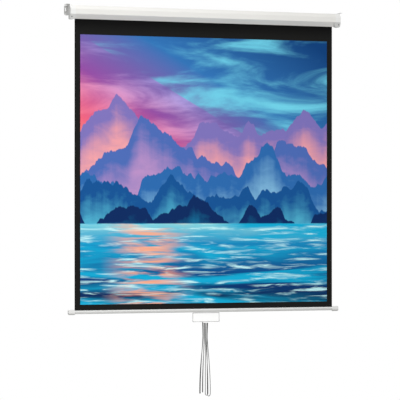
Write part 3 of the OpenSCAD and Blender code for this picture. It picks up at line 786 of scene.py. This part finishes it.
def dress(nodes: Iterable[str], finish: Finish, radius: float = 0.0) -> None:
    """Give CAD nodes their finish, and their sharp edges a small radius.

    Args:
        nodes: Names of the nodes.
        finish: What they are made of.
        radius: Radius in millimetres, or zero to leave the edges.
    """
    for name in nodes:
        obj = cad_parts[name]
        obj.data.materials.clear()
        obj.data.materials.append(finish.material())
        if radius:
            weld = obj.modifiers.new("join_triangles", "WELD")
            weld.merge_threshold = TOUCHING * MM
            plain = obj.modifiers.new("plain_faces", "DECIMATE")
            plain.decimate_type = "DISSOLVE"
            plain.angle_limit = math.radians(0.5)
            round_edges(obj, radius)
        LOG.info("%s: %s, as in CAD", name, finish.name)


def arc(centre: Point2, radius: float, start: float, stop: float, steps: int) -> list[Point2]:
    """Return points along an arc.

    Args:
        centre: Its middle.
        radius: Its radius.
        start: Where it starts, in degrees.
        stop: Where it ends, in degrees.
        steps: How many chords it has.

    Returns:
        The points, with both ends.
    """
    angles = [math.radians(start + (stop - start) * k / steps) for k in range(steps + 1)]
    return [(centre[0] + radius * math.cos(a), centre[1] + radius * math.sin(a)) for a in angles]


def wire(bm: BMesh, points: Sequence[Point3], closed: bool = True) -> Edges:
    """Draw an outline of a few points.

    Args:
        bm: The mesh to draw in.
        points: Its corners.
        closed: Whether the last corner joins the first.

    Returns:
        The edges.
    """
    verts = [bm.verts.new(p) for p in points]
    ends = verts[1:] + verts[:1] if closed else verts[1:]
    return [bm.edges.new(pair) for pair in zip(verts, ends)]


def ring(bm: BMesh, centre: Point3, radius: float, normal: Point3, count: int = 24) -> Edges:
    """Draw a circle.

    Args:
        bm: The mesh to draw in.
        centre: Its middle.
        radius: Its radius.
        normal: The direction it faces.
        count: How many corners it has.

    Returns:
        The edges.
    """
    made = bmesh.ops.create_circle(bm, segments=count, radius=radius,
                                   matrix=Matrix.Translation(centre) @ facing(normal))
    return list({e for v in made["verts"] for e in v.link_edges})


def facing(normal: Point3) -> Matrix:
    """Return the turn that brings +Z to a direction."""
    return Vector((0, 0, 1)).rotation_difference(Vector(normal)).to_matrix().to_4x4()


def corners(edges: Edges) -> list[bmesh.types.BMVert]:
    """Return the corners that edges join."""
    return list({v for e in edges for v in e.verts})


def push(bm: BMesh, edges: Edges, by: Point3) -> Edges:
    """Extrude edges and move the new ones.

    Args:
        bm: The mesh.
        edges: The edges to extrude.
        by: How far the new edges move.

    Returns:
        The new edges.
    """
    made = bmesh.ops.extrude_edge_only(bm, edges=edges)["geom"]
    bmesh.ops.translate(bm, verts=[g for g in made if isinstance(g, bmesh.types.BMVert)], vec=by)
    return [g for g in made if isinstance(g, bmesh.types.BMEdge)]


def fold(bm: BMesh, bend: float) -> None:
    """Round the folds of a sheet, which are the edges between two faces at an angle.

    Args:
        bm: The sheet.
        bend: Distance from the fold to where its bend starts.
    """
    folds = [e for e in bm.edges if len(e.link_faces) == 2 and e.calc_face_angle() > FLAT]
    bmesh.ops.bevel(bm, geom=folds, offset=bend, affect="EDGES", segments=FOLD_STEPS,
                    profile=0.5, material=-1)


def fill(bm: BMesh, *loops: Edges) -> None:
    """Fill the area between an outline and the holes in it."""
    bmesh.ops.triangle_fill(bm, use_beauty=True, use_dissolve=False,
                            edges=[e for loop in loops for e in loop])


def rope(name: str, points: Sequence[Vector], radius: float, finish: Finish, body: Body,
         stands_for: Sequence[str] = (), sides: int = 4) -> Object:
    """Make a round wire or cord as a curve.

    Args:
        name: Name of the piece.
        points: The points that it follows, in metres.
        radius: Radius in metres.
        finish: What it is made of.
        body: The body that carries it.
        stands_for: The CAD nodes that it replaces.
        sides: Resolution of its round section.

    Returns:
        The piece.
    """
    curve = bpy.data.curves.new(name, "CURVE")
    curve.dimensions = "3D"
    curve.bevel_depth = radius
    curve.bevel_resolution = sides
    curve.use_fill_caps = True
    curve.twist_mode = "MINIMUM"
    spline = curve.splines.new("POLY")
    spline.points.add(len(points) - 1)
    for target, source in zip(spline.points, points):
        target.co = (*source, 1.0)
    spline.use_smooth = True
    return settle(add_object(name, curve), finish, body, stands_for)


@dataclass(frozen=True)
class Lamp:
    """A soft square lamp: its place, the point that it faces, its side and its power.

    Its lengths are in metres and its power in watts.
    """

    name: str
    place: Point3
    aim: Point3
    size: float
    power: float

    def hang(self) -> None:
        """Add the lamp to the scene."""
        data = bpy.data.lights.new(self.name, "AREA")
        data.shape = "SQUARE"
        data.size = self.size
        data.energy = self.power
        obj = add_object(self.name, data)
        obj.location = self.place
        turn = (Vector(self.aim) - Vector(self.place)).to_track_quat("-Z", "Y")
        obj.rotation_euler = turn.to_euler()


@dataclass
class Studio:
    """Camera of the photograph, soft lights, white surround and a pale floor, in metres."""

    eye: Point3 = (-5.851, -14.958, -1.367)
    heading: float = 21.26
    lens: float = 215.06
    sensor: float = 36.0
    rise: float = 0.044
    far: float = 200.0
    surround: float = 0.48
    floor_z: float = -2.95
    floor_radius: float = 4.0
    floor_glow: float = 0.55
    lamps: tuple[Lamp, ...] = (
        Lamp("left_panel", (-3.4, -3.0, 3.6), (-0.5, 0.0, -0.6), 2.0, 100.0),
        Lamp("overhead_panel", (-0.4, -1.4, 3.0), (-0.2, 0.0, 0.0), 2.0, 44.0),
        Lamp("low_panel", (-1.5, -5.0, -2.2), (0.0, 0.0, -1.6), 2.0, 112.0))

    def camera(self) -> None:
        """Place the camera where the photograph was taken from."""
        data = bpy.data.cameras.new("camera")
        data.lens = self.lens
        data.sensor_width = self.sensor
        data.shift_y = self.rise
        data.clip_end = self.far
        obj = add_object("camera", data)
        obj.location = self.eye
        obj.rotation_euler = (math.radians(90), 0.0, math.radians(-self.heading))
        bpy.context.scene.camera = obj

    def world(self) -> None:
        """Surround the screen with white that lights it at a plain level."""
        world = bpy.data.worlds.new("white_surround")
        bpy.context.scene.world = world
        world.use_nodes = True
        tree = world.node_tree
        tree.nodes.clear()
        seen, *others = [add_node(tree, "LightPath", out=f"Is {ray} Ray")
                         for ray in ("Camera", "Glossy", "Transmission")]
        for other in others:
            seen = add_node(tree, "Math", {0: seen, 1: other}, operation="MAXIMUM")
        level = add_node(tree, "MapRange", {"Value": seen, "To Min": self.surround})
        sky = add_node(tree, "Background", {"Color": linear("FFFFFF"), "Strength": level})
        add_node(tree, "OutputWorld", {"Surface": sky})

    def floor(self) -> None:
        """Lay a pale round floor below the screen, which the camera sees as white."""
        bm = bmesh.new()
        bmesh.ops.create_circle(bm, cap_ends=True, segments=96, radius=self.floor_radius,
                                matrix=Matrix.Translation((0, 0, self.floor_z)))
        mesh = bpy.data.meshes.new("floor")
        bm.to_mesh(mesh)
        bm.free()
        paint = FLOOR_PAINT.material()
        tree = paint.node_tree
        seen = add_node(tree, "LightPath", out="Is Camera Ray")
        glow = add_node(tree, "Math", {0: seen, 1: self.floor_glow}, operation="MULTIPLY")
        shader = next(node for node in tree.nodes if node.type == "BSDF_PRINCIPLED")
        shader.inputs["Emission Color"].default_value = linear("FFFFFF")
        tree.links.new(glow, shader.inputs["Emission Strength"])
        mesh.materials.append(paint)
        add_object("floor", mesh)

    def build(self) -> None:
        """Make the camera, the surround, the floor and the lamps."""
        bpy.context.scene.view_settings.view_transform = "Standard"
        self.camera()
        self.world()
        self.floor()
        for lamp in self.lamps:
            lamp.hang()


@dataclass
class PullCord:
    """One cord in four long loops over a saddle, with a stopper knot at each end.

    The route is the same as the one of the CAD solid. Waist_at is the share of a run at which
    it is narrowest, and the angles of loop_turn are in degrees.
    """

    diameter: float = 4.0
    length: float = 4180.3
    over_r: float = 9.8
    saddle_y: float = -15.5
    saddle_z: float = -2052.7
    ledge_z: float = -2037.7
    ledge_t: float = 3.0
    end_x: float = 21.0
    end_step: float = 5.0
    over_x: tuple[float, ...] = (-11, 0, 11)
    down_waist_x: tuple[float, ...] = (-19.5, -9.8, -0.1, 9.6)
    up_waist_x: tuple[float, ...] = (-14.7, -5, 4.8, 14.5)
    loop_x: tuple[float, ...] = (-39, -20, 9, 25)
    loop_half: tuple[float, ...] = (8.5, 8.5, 13, 18)
    loop_turn: tuple[float, ...] = (84, 78, 25, 35)
    loop_low: tuple[float, ...] = (496, 488, 509, 515)
    waist_at: float = 0.23
    loop_ease: float = 0.7
    waist_step: float = 3.0
    loop_step: float = 4.0
    run_points: int = 28
    fold_points: int = 11
    knot_points: int = 60
    knot_turns: float = 1.5
    knot_wide: float = 2.6
    knot_deep: float = 2.3
    knot_rise: float = 5.0
    knot_weave: float = 0.9
    knot_lift: float = 2.2

    def ends(self) -> list[Point2]:
        """Return X and Y of the left and the right knot."""
        return [(sign * self.end_x, self.saddle_y + sign * self.end_step) for sign in (-1, 1)]

    def bend(self, top: Point2, waist: Point2, low: Point2, low_z: float,
             share: float) -> Vector:
        """Return a point of a run that narrows to its waist and opens to its loop.

        Args:
            top: X and Y at the saddle.
            waist: X and Y at the waist.
            low: X and Y at the loop.
            low_z: Height where the loop begins to turn.
            share: Place along the run, from zero at the saddle to one.

        Returns:
            The point in millimetres.
        """
        if share < self.waist_at:
            a, b, t = top, waist, share / self.waist_at
        else:
            past = (share - self.waist_at) / (1 - self.waist_at)
            a, b, t = waist, low, past ** self.loop_ease
        ease = (1 - math.cos(math.pi * t)) / 2
        return Vector((a[0] + (b[0] - a[0]) * ease, a[1] + (b[1] - a[1]) * ease,
                       self.saddle_z + (low_z - self.saddle_z) * share))

    def route(self) -> list[Vector]:
        """Follow the cord from knot to knot.

        Returns:
            The points down the middle of the cord, in metres.
        """
        left, right = self.ends()
        loop_y = self.saddle_y - self.loop_step
        down_top = [left] + [(x, self.saddle_y - self.over_r) for x in self.over_x]
        up_top = [(x, self.saddle_y + self.over_r) for x in self.over_x] + [right]
        shares = [k / (self.run_points - 1) for k in range(self.run_points)]
        turns = [math.pi * k / (self.fold_points + 1) for k in range(1, self.fold_points + 1)]
        points = [Vector((*left, self.ledge_z)), Vector((*left, self.ledge_z - self.diameter))]
        for i, (half, low) in enumerate(zip(self.loop_half, self.loop_low)):
            low_z = self.saddle_z - low + self.diameter / 2 + half
            turn = math.radians(self.loop_turn[i])
            side = Vector((math.cos(turn), math.sin(turn))) * half
            middle = Vector((self.loop_x[i], loop_y))
            down_waist = (self.down_waist_x[i], loop_y - self.waist_step)
            up_waist = (self.up_waist_x[i], loop_y + self.waist_step)
            points += [self.bend(down_top[i], down_waist, tuple(middle - side), low_z, s)
                       for s in shares]
            points += [Vector((*(middle - side * math.cos(a)), low_z - half * math.sin(a)))
                       for a in turns]
            points += [self.bend(up_top[i], up_waist, tuple(middle + side), low_z, s)
                       for s in reversed(shares)]
            if i < len(self.over_x):
                points += [Vector((self.over_x[i], self.saddle_y + self.over_r * math.cos(a),
                                   self.saddle_z + self.over_r * math.sin(a))) for a in turns]
        points += [Vector((*right, self.ledge_z - self.diameter)), Vector((*right, self.ledge_z))]
        return [p * MM for p in points]

    def knot(self, x: float, y: float) -> list[Vector]:
        """Wind a stopper knot above the ledge.

        Args:
            x: Where the cord comes up.
            y: Where the cord comes up.

        Returns:
            The points down the middle of the cord, in metres.
        """
        base = self.ledge_z + self.ledge_t + self.knot_lift
        points = [Vector((x, y, self.ledge_z + h)) for h in (0.0, self.ledge_t / 2)]
        for k in range(self.knot_points + 1):
            share = k / self.knot_points
            a = math.tau * self.knot_turns * share
            points.append(Vector((
                x + self.knot_wide * math.sin(a), y + self.knot_deep * math.cos(2 * a),
                base + self.knot_rise * share + self.knot_weave * math.sin(3 * a))))
        return [p * MM for p in points]

    def build(self) -> None:
        route, radius = self.route(), self.diameter / 2 * MM
        cord = rope("looped_pull_cord", route, radius, CORD, Body.BAR, ["pull_cord"])
        knots = [rope(f"{side}_cord_knot", self.knot(x, y), radius, CORD, Body.BAR)
                 for side, (x, y) in zip(("left", "right"), self.ends())]
        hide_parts("cord_knots")


@dataclass(frozen=True)
class Screw:
    """A pan-head screw with a cross recess.

    Recess, arm, depth, taper and point are shares of the head or shank, and dome gives the
    width and height of each step of the head, as shares too.
    """

    shank_r: float
    head_r: float
    head_h: float
    length: float
    recess: float = 0.55
    arm: float = 0.16
    depth: float = 0.55
    taper: float = 0.6
    point: float = 0.25
    dome: tuple[Point2, ...] = ((1.0, 0.45), (0.93, 0.72), (0.78, 0.92), (0.62, 1.0))

    def add(self, bm: BMesh, seat: Point3, out: Point3) -> None:
        """Add the screw to a mesh.

        Args:
            bm: The mesh.
            seat: Middle of the surface under its head.
            out: Direction in which the head stands out.
        """
        before = set(bm.verts)
        under = rim = ring(bm, (0, 0, 0), self.head_r, (0, 0, 1))
        for wide, high in self.dome:
            rim = push(bm, rim, (0, 0, 0))
            for v in corners(rim):
                v.co = Vector((v.co.x, v.co.y, 0)).normalized() * self.head_r * wide
                v.co.z = self.head_h * high
        reach, half = self.recess * self.head_r, self.arm * self.head_r
        cross = []
        for k in range(4):
            turn = Matrix.Rotation(math.radians(90 * k), 3, "Z")
            cross += [turn @ Vector((x, y, self.head_h))
                      for x, y in ((half, -half), (reach, -half), (reach, half))]
        slot = wire(bm, cross)
        fill(bm, rim, slot)
        floor = push(bm, slot, (0, 0, -self.head_h * self.depth))
        bmesh.ops.scale(bm, verts=corners(floor), vec=(self.taper, self.taper, 1.0))
        fill(bm, floor)
        neck = ring(bm, (0, 0, 0), self.shank_r, (0, 0, 1))
        fill(bm, under, neck)
        shank = push(bm, neck, (0, 0, self.shank_r - self.length))
        tip = push(bm, shank, (0, 0, -self.shank_r))
        bmesh.ops.scale(bm, verts=corners(tip), vec=(self.point, self.point, 1.0))
        fill(bm, tip)
        bmesh.ops.transform(bm, matrix=Matrix.Translation(seat) @ facing(out),
                            verts=[v for v in bm.verts if v not in before])

    def fasten(self, name: str, finish: Finish, body: Body, node: str,
               seats: Iterable[tuple[Point3, Point3]]) -> None:
        """Make one piece of identical screws.

        Args:
            name: Name of the piece.
            finish: What the screws are made of.
            body: The body that carries them.
            node: The CAD node that they replace.
            seats: The seat of each screw and the direction of its head.
        """
        bm = bmesh.new()
        for seat, out in seats:
            self.add(bm, seat, out)
        piece(bm, name, finish, body, [node])


@dataclass
class Case:
    """Roll-formed case with folded lips, its end caps and their screws."""

    half_len: float = 961.0
    sheet: float = 1.0
    bend: float = 2.2
    outline: tuple[Point2, ...] = ((-22, -28), (-22, -37), (-4, -37), (-4, 27), (-60, 27),
                                   (-80, 2), (-80, -32), (-38, -62), (-38, -53))
    screw: Screw = Screw(1.5, 3.5, 1.6, 18.5)
    screw_at: Point3 = (959.0, -71.57, -49.5)

    def shell(self) -> None:
        """Fold the case from one sheet with round bends."""
        bm = bmesh.new()
        edges = wire(bm, [(-self.half_len, y, z) for y, z in self.outline], closed=False)
        push(bm, edges, (2 * self.half_len, 0, 0))
        fold(bm, self.bend)
        bmesh.ops.recalc_face_normals(bm, faces=bm.faces)
        bmesh.ops.solidify(bm, geom=bm.faces[:], thickness=self.sheet)
        piece(bm, "folded_case", CASE_ENAMEL, Body.HOUSING, ["case_shell"], edge=0.15, flat=50)

    def build(self) -> None:
        """Make the shell and the cap screws and dress the caps."""
        self.shell()
        dress(["left_end_cap", "right_end_cap"], CAP_PLASTIC, radius=0.8)
        x, y, z = self.screw_at
        self.screw.fasten("pan_head_cap_screws", BLACKED, Body.HOUSING, "cap_screws",
                          [((side.value * x, y, z), (0, -1, 0)) for side in Side])


@dataclass
class Hangers:
    """Folded sheet brackets, each with a side plate, a wall flange and a top flange."""

    inner_x: float = 970.0
    outer_x: float = 990.0
    reach: float = 64.0
    top: float = 34.0
    drop: float = 38.0
    sheet: float = 2.0
    bend: float = 3.0
    relief: float = 6.0
    foot_r: float = 14.0
    head_r: float = 10.0
    hole_r: float = 3.0
    hole_x: float = 980.0
    slot_half: float = 8.0
    ceiling_hole_y: float = -30.0
    window: tuple[Point2, ...] = ((-54, 24), (-12, 24), (-30, 2), (-30, -13), (-36, -13),
                                  (-36, 2))
    screw: Screw = Screw(1.75, 3.2, 2.0, 8.0)
    screw_hole_r: float = 1.8
    screw_at: tuple[Point2, ...] = ((-50, -27), (-16, -27))
    arc_steps: int = 8

    def wall_flange(self, bm: BMesh) -> None:
        """Lay the flat wall flange, with the upright slot by which the screen is levelled.

        Args:
            bm: The bracket's mesh.
        """
        x, far, steps = self.inner_x, self.outer_x, self.arc_steps
        low, high = -self.drop, self.top - self.relief
        foot = arc((far - self.foot_r, low + self.foot_r), self.foot_r, -90, 0, steps)
        head = arc((far - self.head_r, high - self.head_r), self.head_r, 0, 90, steps)
        slot = arc((self.hole_x, self.slot_half), self.hole_r, 0, 180, steps)
        slot += arc((self.hole_x, -self.slot_half), self.hole_r, 180, 360, steps)
        flange, hole = (wire(bm, [(px, 0, pz) for px, pz in points])
                        for points in ([(x, low), *foot, *head, (x, high)], slot))
        fill(bm, flange, hole)

    def bracket(self, side: Side) -> None:
        """Fold one bracket out of sheet.

        Args:
            side: The end of the case that it holds.
        """
        bm = bmesh.new()
        x, far, reach = self.inner_x, self.outer_x, self.reach
        high, low, near = self.top, -self.drop, self.relief
        plate = wire(bm, [(x, -reach, low), (x, 0, low), (x, 0, high - near),
                          (x, -near, high - near), (x, -near, high), (x, -reach, high)])
        holes = [wire(bm, [(x, y, z) for y, z in self.window])]
        holes += [ring(bm, (x, y, z), self.screw_hole_r, (1, 0, 0), 16) for y, z in self.screw_at]
        fill(bm, plate, *holes)
        self.wall_flange(bm)
        top = wire(bm, [(x, -near, high), (far, -near, high), (far, -reach, high),
                        (x, -reach, high)])
        fill(bm, top, ring(bm, (self.hole_x, self.ceiling_hole_y, high), self.hole_r, (0, 0, 1)))
        bmesh.ops.remove_doubles(bm, verts=bm.verts, dist=0.01)
        bmesh.ops.recalc_face_normals(bm, faces=bm.faces)
        fold(bm, self.bend)
        bmesh.ops.solidify(bm, geom=bm.faces[:], thickness=self.sheet)
        if side is Side.LEFT:
            bmesh.ops.scale(bm, verts=bm.verts, vec=(-1, 1, 1))
        name = f"{side.name.lower()}_hanger"
        piece(bm, f"{name}_bracket", GALVANISED, Body.HOUSING, [name], edge=0.25, flat=50)

    def build(self) -> None:
        """Make both brackets and the screws that hold them."""
        for side in Side:
            self.bracket(side)
        face = self.inner_x + self.sheet
        self.screw.fasten("pan_head_hanger_screws", ZINCED, Body.HOUSING, "hanger_screws", [
            ((side.value * face, y, z), (side.value, 0, 0))
            for side in Side for y, z in self.screw_at])


@dataclass
class Roller:
    """Tube with its plugs, the turns of cloth left on it, the spring and the lock."""

    axis_y: float = -49.875
    axis_z: float = -12.0
    tube_r: float = 18.0
    cloth_half: float = 927.0
    cloth_t: float = 0.45
    turns: int = 3
    turn_points: int = 48
    first_layer: float = 0.0275
    layer: float = 0.38
    screw: Screw = Screw(1.25, 2.6, 1.5, 9.0)
    screw_x: float = 942.0
    screw_step: float = 12.0
    anchor_x: float = 575.0
    plug_x: float = 905.0
    spring_gap: float = 0.3
    coil_r: float = 9.0
    wire_r: float = 1.0
    curls: int = 24
    curl_points: int = 20
    lead: float = 2.0
    lead_bend: float = 3.0

    def wound_cloth(self) -> None:
        """Wind the last turns of the cloth on the tube as one spiral."""
        bm = bmesh.new()
        points = []
        for k in range(self.turn_points * self.turns + 1):
            turn = k / self.turn_points
            r = self.tube_r + self.first_layer + self.cloth_t * turn
            a = math.tau * turn
            points.append((-self.cloth_half, self.axis_y + r * math.cos(a),
                           self.axis_z - r * math.sin(a)))
        push(bm, wire(bm, points, closed=False), (2 * self.cloth_half, 0, 0))
        bmesh.ops.recalc_face_normals(bm, faces=bm.faces)
        bmesh.ops.solidify(bm, geom=bm.faces[:], thickness=self.layer)
        cloth = piece(bm, "cloth_turns", CLOTH_BACK, Body.ROLLER, ["wound_cloth"])

    def spring(self) -> None:
        """Coil the torsion spring that winds the screen up, with a straight leg at each end."""
        start, stop = self.anchor_x, self.plug_x - self.spring_gap
        leg = self.lead + self.lead_bend
        r, bend = self.coil_r, self.lead_bend
        thirds = (math.pi / 6, math.pi / 3)
        local = [(start, r, -bend), (start + self.lead, r, -bend)]
        local += [(start + self.lead + bend * math.sin(a), r, -bend * math.cos(a)) for a in thirds]
        count = self.curls * self.curl_points
        for k in range(count + 1):
            a = math.tau * k / self.curl_points
            x = start + leg + (stop - start - 2 * leg) * k / count
            local.append((x, r * math.cos(a), r * math.sin(a)))
        local += [(stop - self.lead - bend * math.sin(a), r, bend * math.cos(a))
                  for a in reversed(thirds)]
        local += [(stop - self.lead, r, bend), (stop, r, bend)]
        points = [Vector((-x, self.axis_y + y, self.axis_z + z)) * MM for x, y, z in local]
        rope("coiled_torsion_spring", points, self.wire_r * MM, OILED_WIRE, Body.HOUSING,
             ["torsion_spring"], sides=2)

    def build(self) -> None:
        """Dress the roller and what carries it."""
        self.wound_cloth()
        self.spring()
        dress(["roller_tube"], MILL_TUBE)
        dress(["spring_end_plug", "idle_end_plug", "rod_bush", "spring_anchor", "idle_bush"],
              NYLON, radius=0.3)
        dress(["fixed_spindle", "spring_rod", "gudgeon_pin", "pawl_pin"], TURNED, radius=0.2)
        dress(["ratchet_wheel", "lock_pawl"], BRASS, radius=0.12)
        dress(["left_bearing_plate", "right_bearing_plate"], PRESSED, radius=0.2)
        self.screw.fasten("pan_head_bearing_screws", ZINCED, Body.HOUSING, "bearing_screws", [
            ((side.value * self.screw_x, self.axis_y + step, self.axis_z), (-side.value, 0, 0))
            for side in Side for step in (-self.screw_step, self.screw_step)])


@dataclass
class Cloth:
    """The hanging sheet, black all round a printed picture, with a hair of waviness.

    Calm_low and calm_span say how far up the cloth the waviness runs, and each ripple is its
    number of waves across and up, and its share of the swell.
    """

    half: float = 927.0
    plane_y: float = -30.0
    top: float = -12.0
    low: float = -1982.0
    thickness: float = 0.4
    columns: int = 72
    rows: int = 80
    travel: float = 1903.0
    swell: float = 1.1
    edge_curl: float = 1.2
    calm_low: float = 0.02
    calm_span: float = 0.93
    ripples: tuple[Point3, ...] = ((2.5, 0.6, 0.35), (-1.0, 1.2, 0.4))

    def wave(self, across: float, up: float) -> float:
        """Return how far the cloth stands from its plane.

        Args:
            across: Place across the cloth, from zero to one.
            up: Place up the cloth, from zero to one.

        Returns:
            The distance in millimetres, towards the room if negative.
        """
        share = (up - self.calm_low) / self.calm_span
        calm = math.sin(math.pi * min(1.0, max(0.0, share)))
        ripple = sum(math.sin(math.tau * (wide * across + high * up)) * size
                     for wide, high, size in self.ripples)
        return self.swell * calm * (ripple + self.edge_curl * abs(2 * across - 1) ** 6)

    def sheet(self) -> bpy.types.Mesh:
        """Make the sheet, printed in front and black behind.

        Returns:
            The mesh.
        """
        bm = bmesh.new()
        bmesh.ops.create_grid(bm, x_segments=self.columns, y_segments=self.rows, size=0.5,
                              calc_uvs=True)
        layer = bm.loops.layers.uv.verify()
        for face in bm.faces:
            for loop in face.loops:
                loop[layer].uv = (loop.vert.co.x + 0.5, loop.vert.co.y + 0.5)
        for v in bm.verts:
            across, up = v.co.x + 0.5, v.co.y + 0.5
            v.co = ((2 * across - 1) * self.half,
                    self.plane_y - self.thickness / 2 + self.wave(across, up),
                    self.low + up * (self.top - self.low))
        bmesh.ops.recalc_face_normals(bm, faces=bm.faces)
        if bm.faces[0].normal.y > 0:
            bmesh.ops.reverse_faces(bm, faces=bm.faces)
        bmesh.ops.solidify(bm, geom=bm.faces[:], thickness=self.thickness)
        for face in bm.faces:
            face.material_index = 0 if face.normal.y < -0.5 else 1
        mesh = finished_mesh(bm, "screen_cloth")
        for finish in (SCREEN_CLOTH, CLOTH_BACK):
            mesh.materials.append(finish.material())
        return mesh

    def build(self) -> None:
        """Hang the sheet from the housing, in place of the CAD cloth."""
        obj = add_object("screen_cloth_sheet", self.sheet())
        settle(obj, SCREEN_CLOTH, Body.HOUSING, ["screen_cloth"])
        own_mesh(obj)


@dataclass
class WeightBar:
    """Enamelled extrusion that keeps the cloth taut, with its rod and end caps."""

    edge_r: float = 0.3
    cap_edge_r: float = 1.0

    def build(self) -> None:
        """Dress the bar, the rod and the caps."""
        dress(["weight_bar"], BAR_ENAMEL, self.edge_r)
        dress(["hem_rod"], HEM_PLASTIC)
        dress(["left_bar_cap", "right_bar_cap"], BAR_CAP, self.cap_edge_r)


@dataclass
class Handle:
    """Moulded plate under the bar, with the saddle that carries the cord behind it."""

    half_w: float = 97.5
    top: float = -2002.7
    low: float = -2067.7
    front: float = -31.5
    thickness: float = 3.0
    corner: float = 4.0
    corner_steps: int = 4
    lip_half: float = 23.0
    lip_drop: float = 6.0
    lip_steps: int = 12
    tab_top: float = -1991.0
    tabs: tuple[Point2, ...] = ((-65, -53), (-41, 41), (53, 65))
    groove_in: float = 1.8
    groove_w: float = 2.4
    groove_depth: float = 1.9
    edge_r: float = 0.5
    screw: Screw = Screw(1.25, 2.6, 1.6, 9.0)
    screw_at: Point3 = (25.0, -22.0, -1993.5)
    ear_screw: Screw = Screw(1.25, 2.4, 1.5, 4.4)
    ear_at: Point3 = (32.0, -26.5, -2045.7)

    def outline(self) -> list[Point3]:
        """Draw the plate with its tabs and the lip before the cord.

        Returns:
            The corners, in the plane of its face.
        """
        corner, steps = self.corner, self.corner_steps
        points = arc((corner - self.half_w, self.low + corner), corner, 180, 270, steps)
        radius = (self.lip_half ** 2 + self.lip_drop ** 2) / (2 * self.lip_drop)
        centre = self.low - self.lip_drop + radius
        for i in range(self.lip_steps + 1):
            x = self.lip_half * (2 * i / self.lip_steps - 1)
            points.append((x, centre - math.sqrt(radius ** 2 - x ** 2)))
        points += arc((self.half_w - corner, self.low + corner), corner, 270, 360, steps)
        points.append((self.half_w, self.top))
        for left, right in reversed(self.tabs):
            points += [(right, self.top), (right, self.tab_top), (left, self.tab_top),
                       (left, self.top)]
        points.append((-self.half_w, self.top))
        return [(x, self.front, z) for x, z in points]

    def plate(self) -> None:
        """Mould the plate with a fine groove round its face."""
        bm = bmesh.new()
        rim = wire(bm, self.outline())
        side, top, low = (self.half_w - self.groove_in, self.top - self.groove_in,
                          self.low + self.groove_in)
        groove = wire(bm, [(x, self.front, z)
                           for x, z in ((-side, top), (-side, low), (side, low), (side, top))])
        fill(bm, rim, groove)
        margin = set(bm.faces)
        middle = Matrix.Translation((0, 0, (self.top + self.low) / 2))
        narrow = Matrix.Diagonal((1 - self.groove_w / (2 * side), 1,
                                  1 - self.groove_w / (top - low), 1))
        for depth in (self.groove_depth, -self.groove_depth):
            groove = push(bm, groove, (0, depth, 0))
            bmesh.ops.transform(bm, matrix=middle @ narrow @ middle.inverted(),
                                verts=corners(groove))
        # Painted shade: the faces inside the groove take the grey material.
        for wall in set(bm.faces) - margin:
            wall.material_index = 1
        fill(bm, groove)
        back = push(bm, rim, (0, self.thickness, 0))
        fill(bm, back)
        plate = piece(bm, "moulded_handle_plate", HANDLE_PLASTIC, Body.BAR, ["handle_plate"],
                      edge=self.edge_r, flat=25)
        plate.data.materials.append(PLATE_GROOVE_SHADE.material())

    def build(self) -> None:
        """Make the plate and the screws and dress the saddle."""
        self.plate()
        dress(["cord_saddle"], SADDLE_PLASTIC, radius=0.3)
        for name, screw, (x, y, z) in (("handle_screws", self.screw, self.screw_at),
                                       ("saddle_screws", self.ear_screw, self.ear_at)):
            screw.fasten(f"pan_head_{name}", ZINCED, Body.BAR, name,
                         [((side.value * x, y, z), (0, 1, 0)) for side in Side])


def main() -> None:
    """Build the studio and then every sub-assembly."""
    logging.basicConfig(level=logging.INFO, format="%(name)s: %(message)s")
    for part in (Studio(), PullCord(), Case(), Hangers(), Roller(), Cloth(), WeightBar(), Handle()):
        LOG.info("building %s", type(part).__name__)
        part.build()


if __name__ == "__main__":
    main()
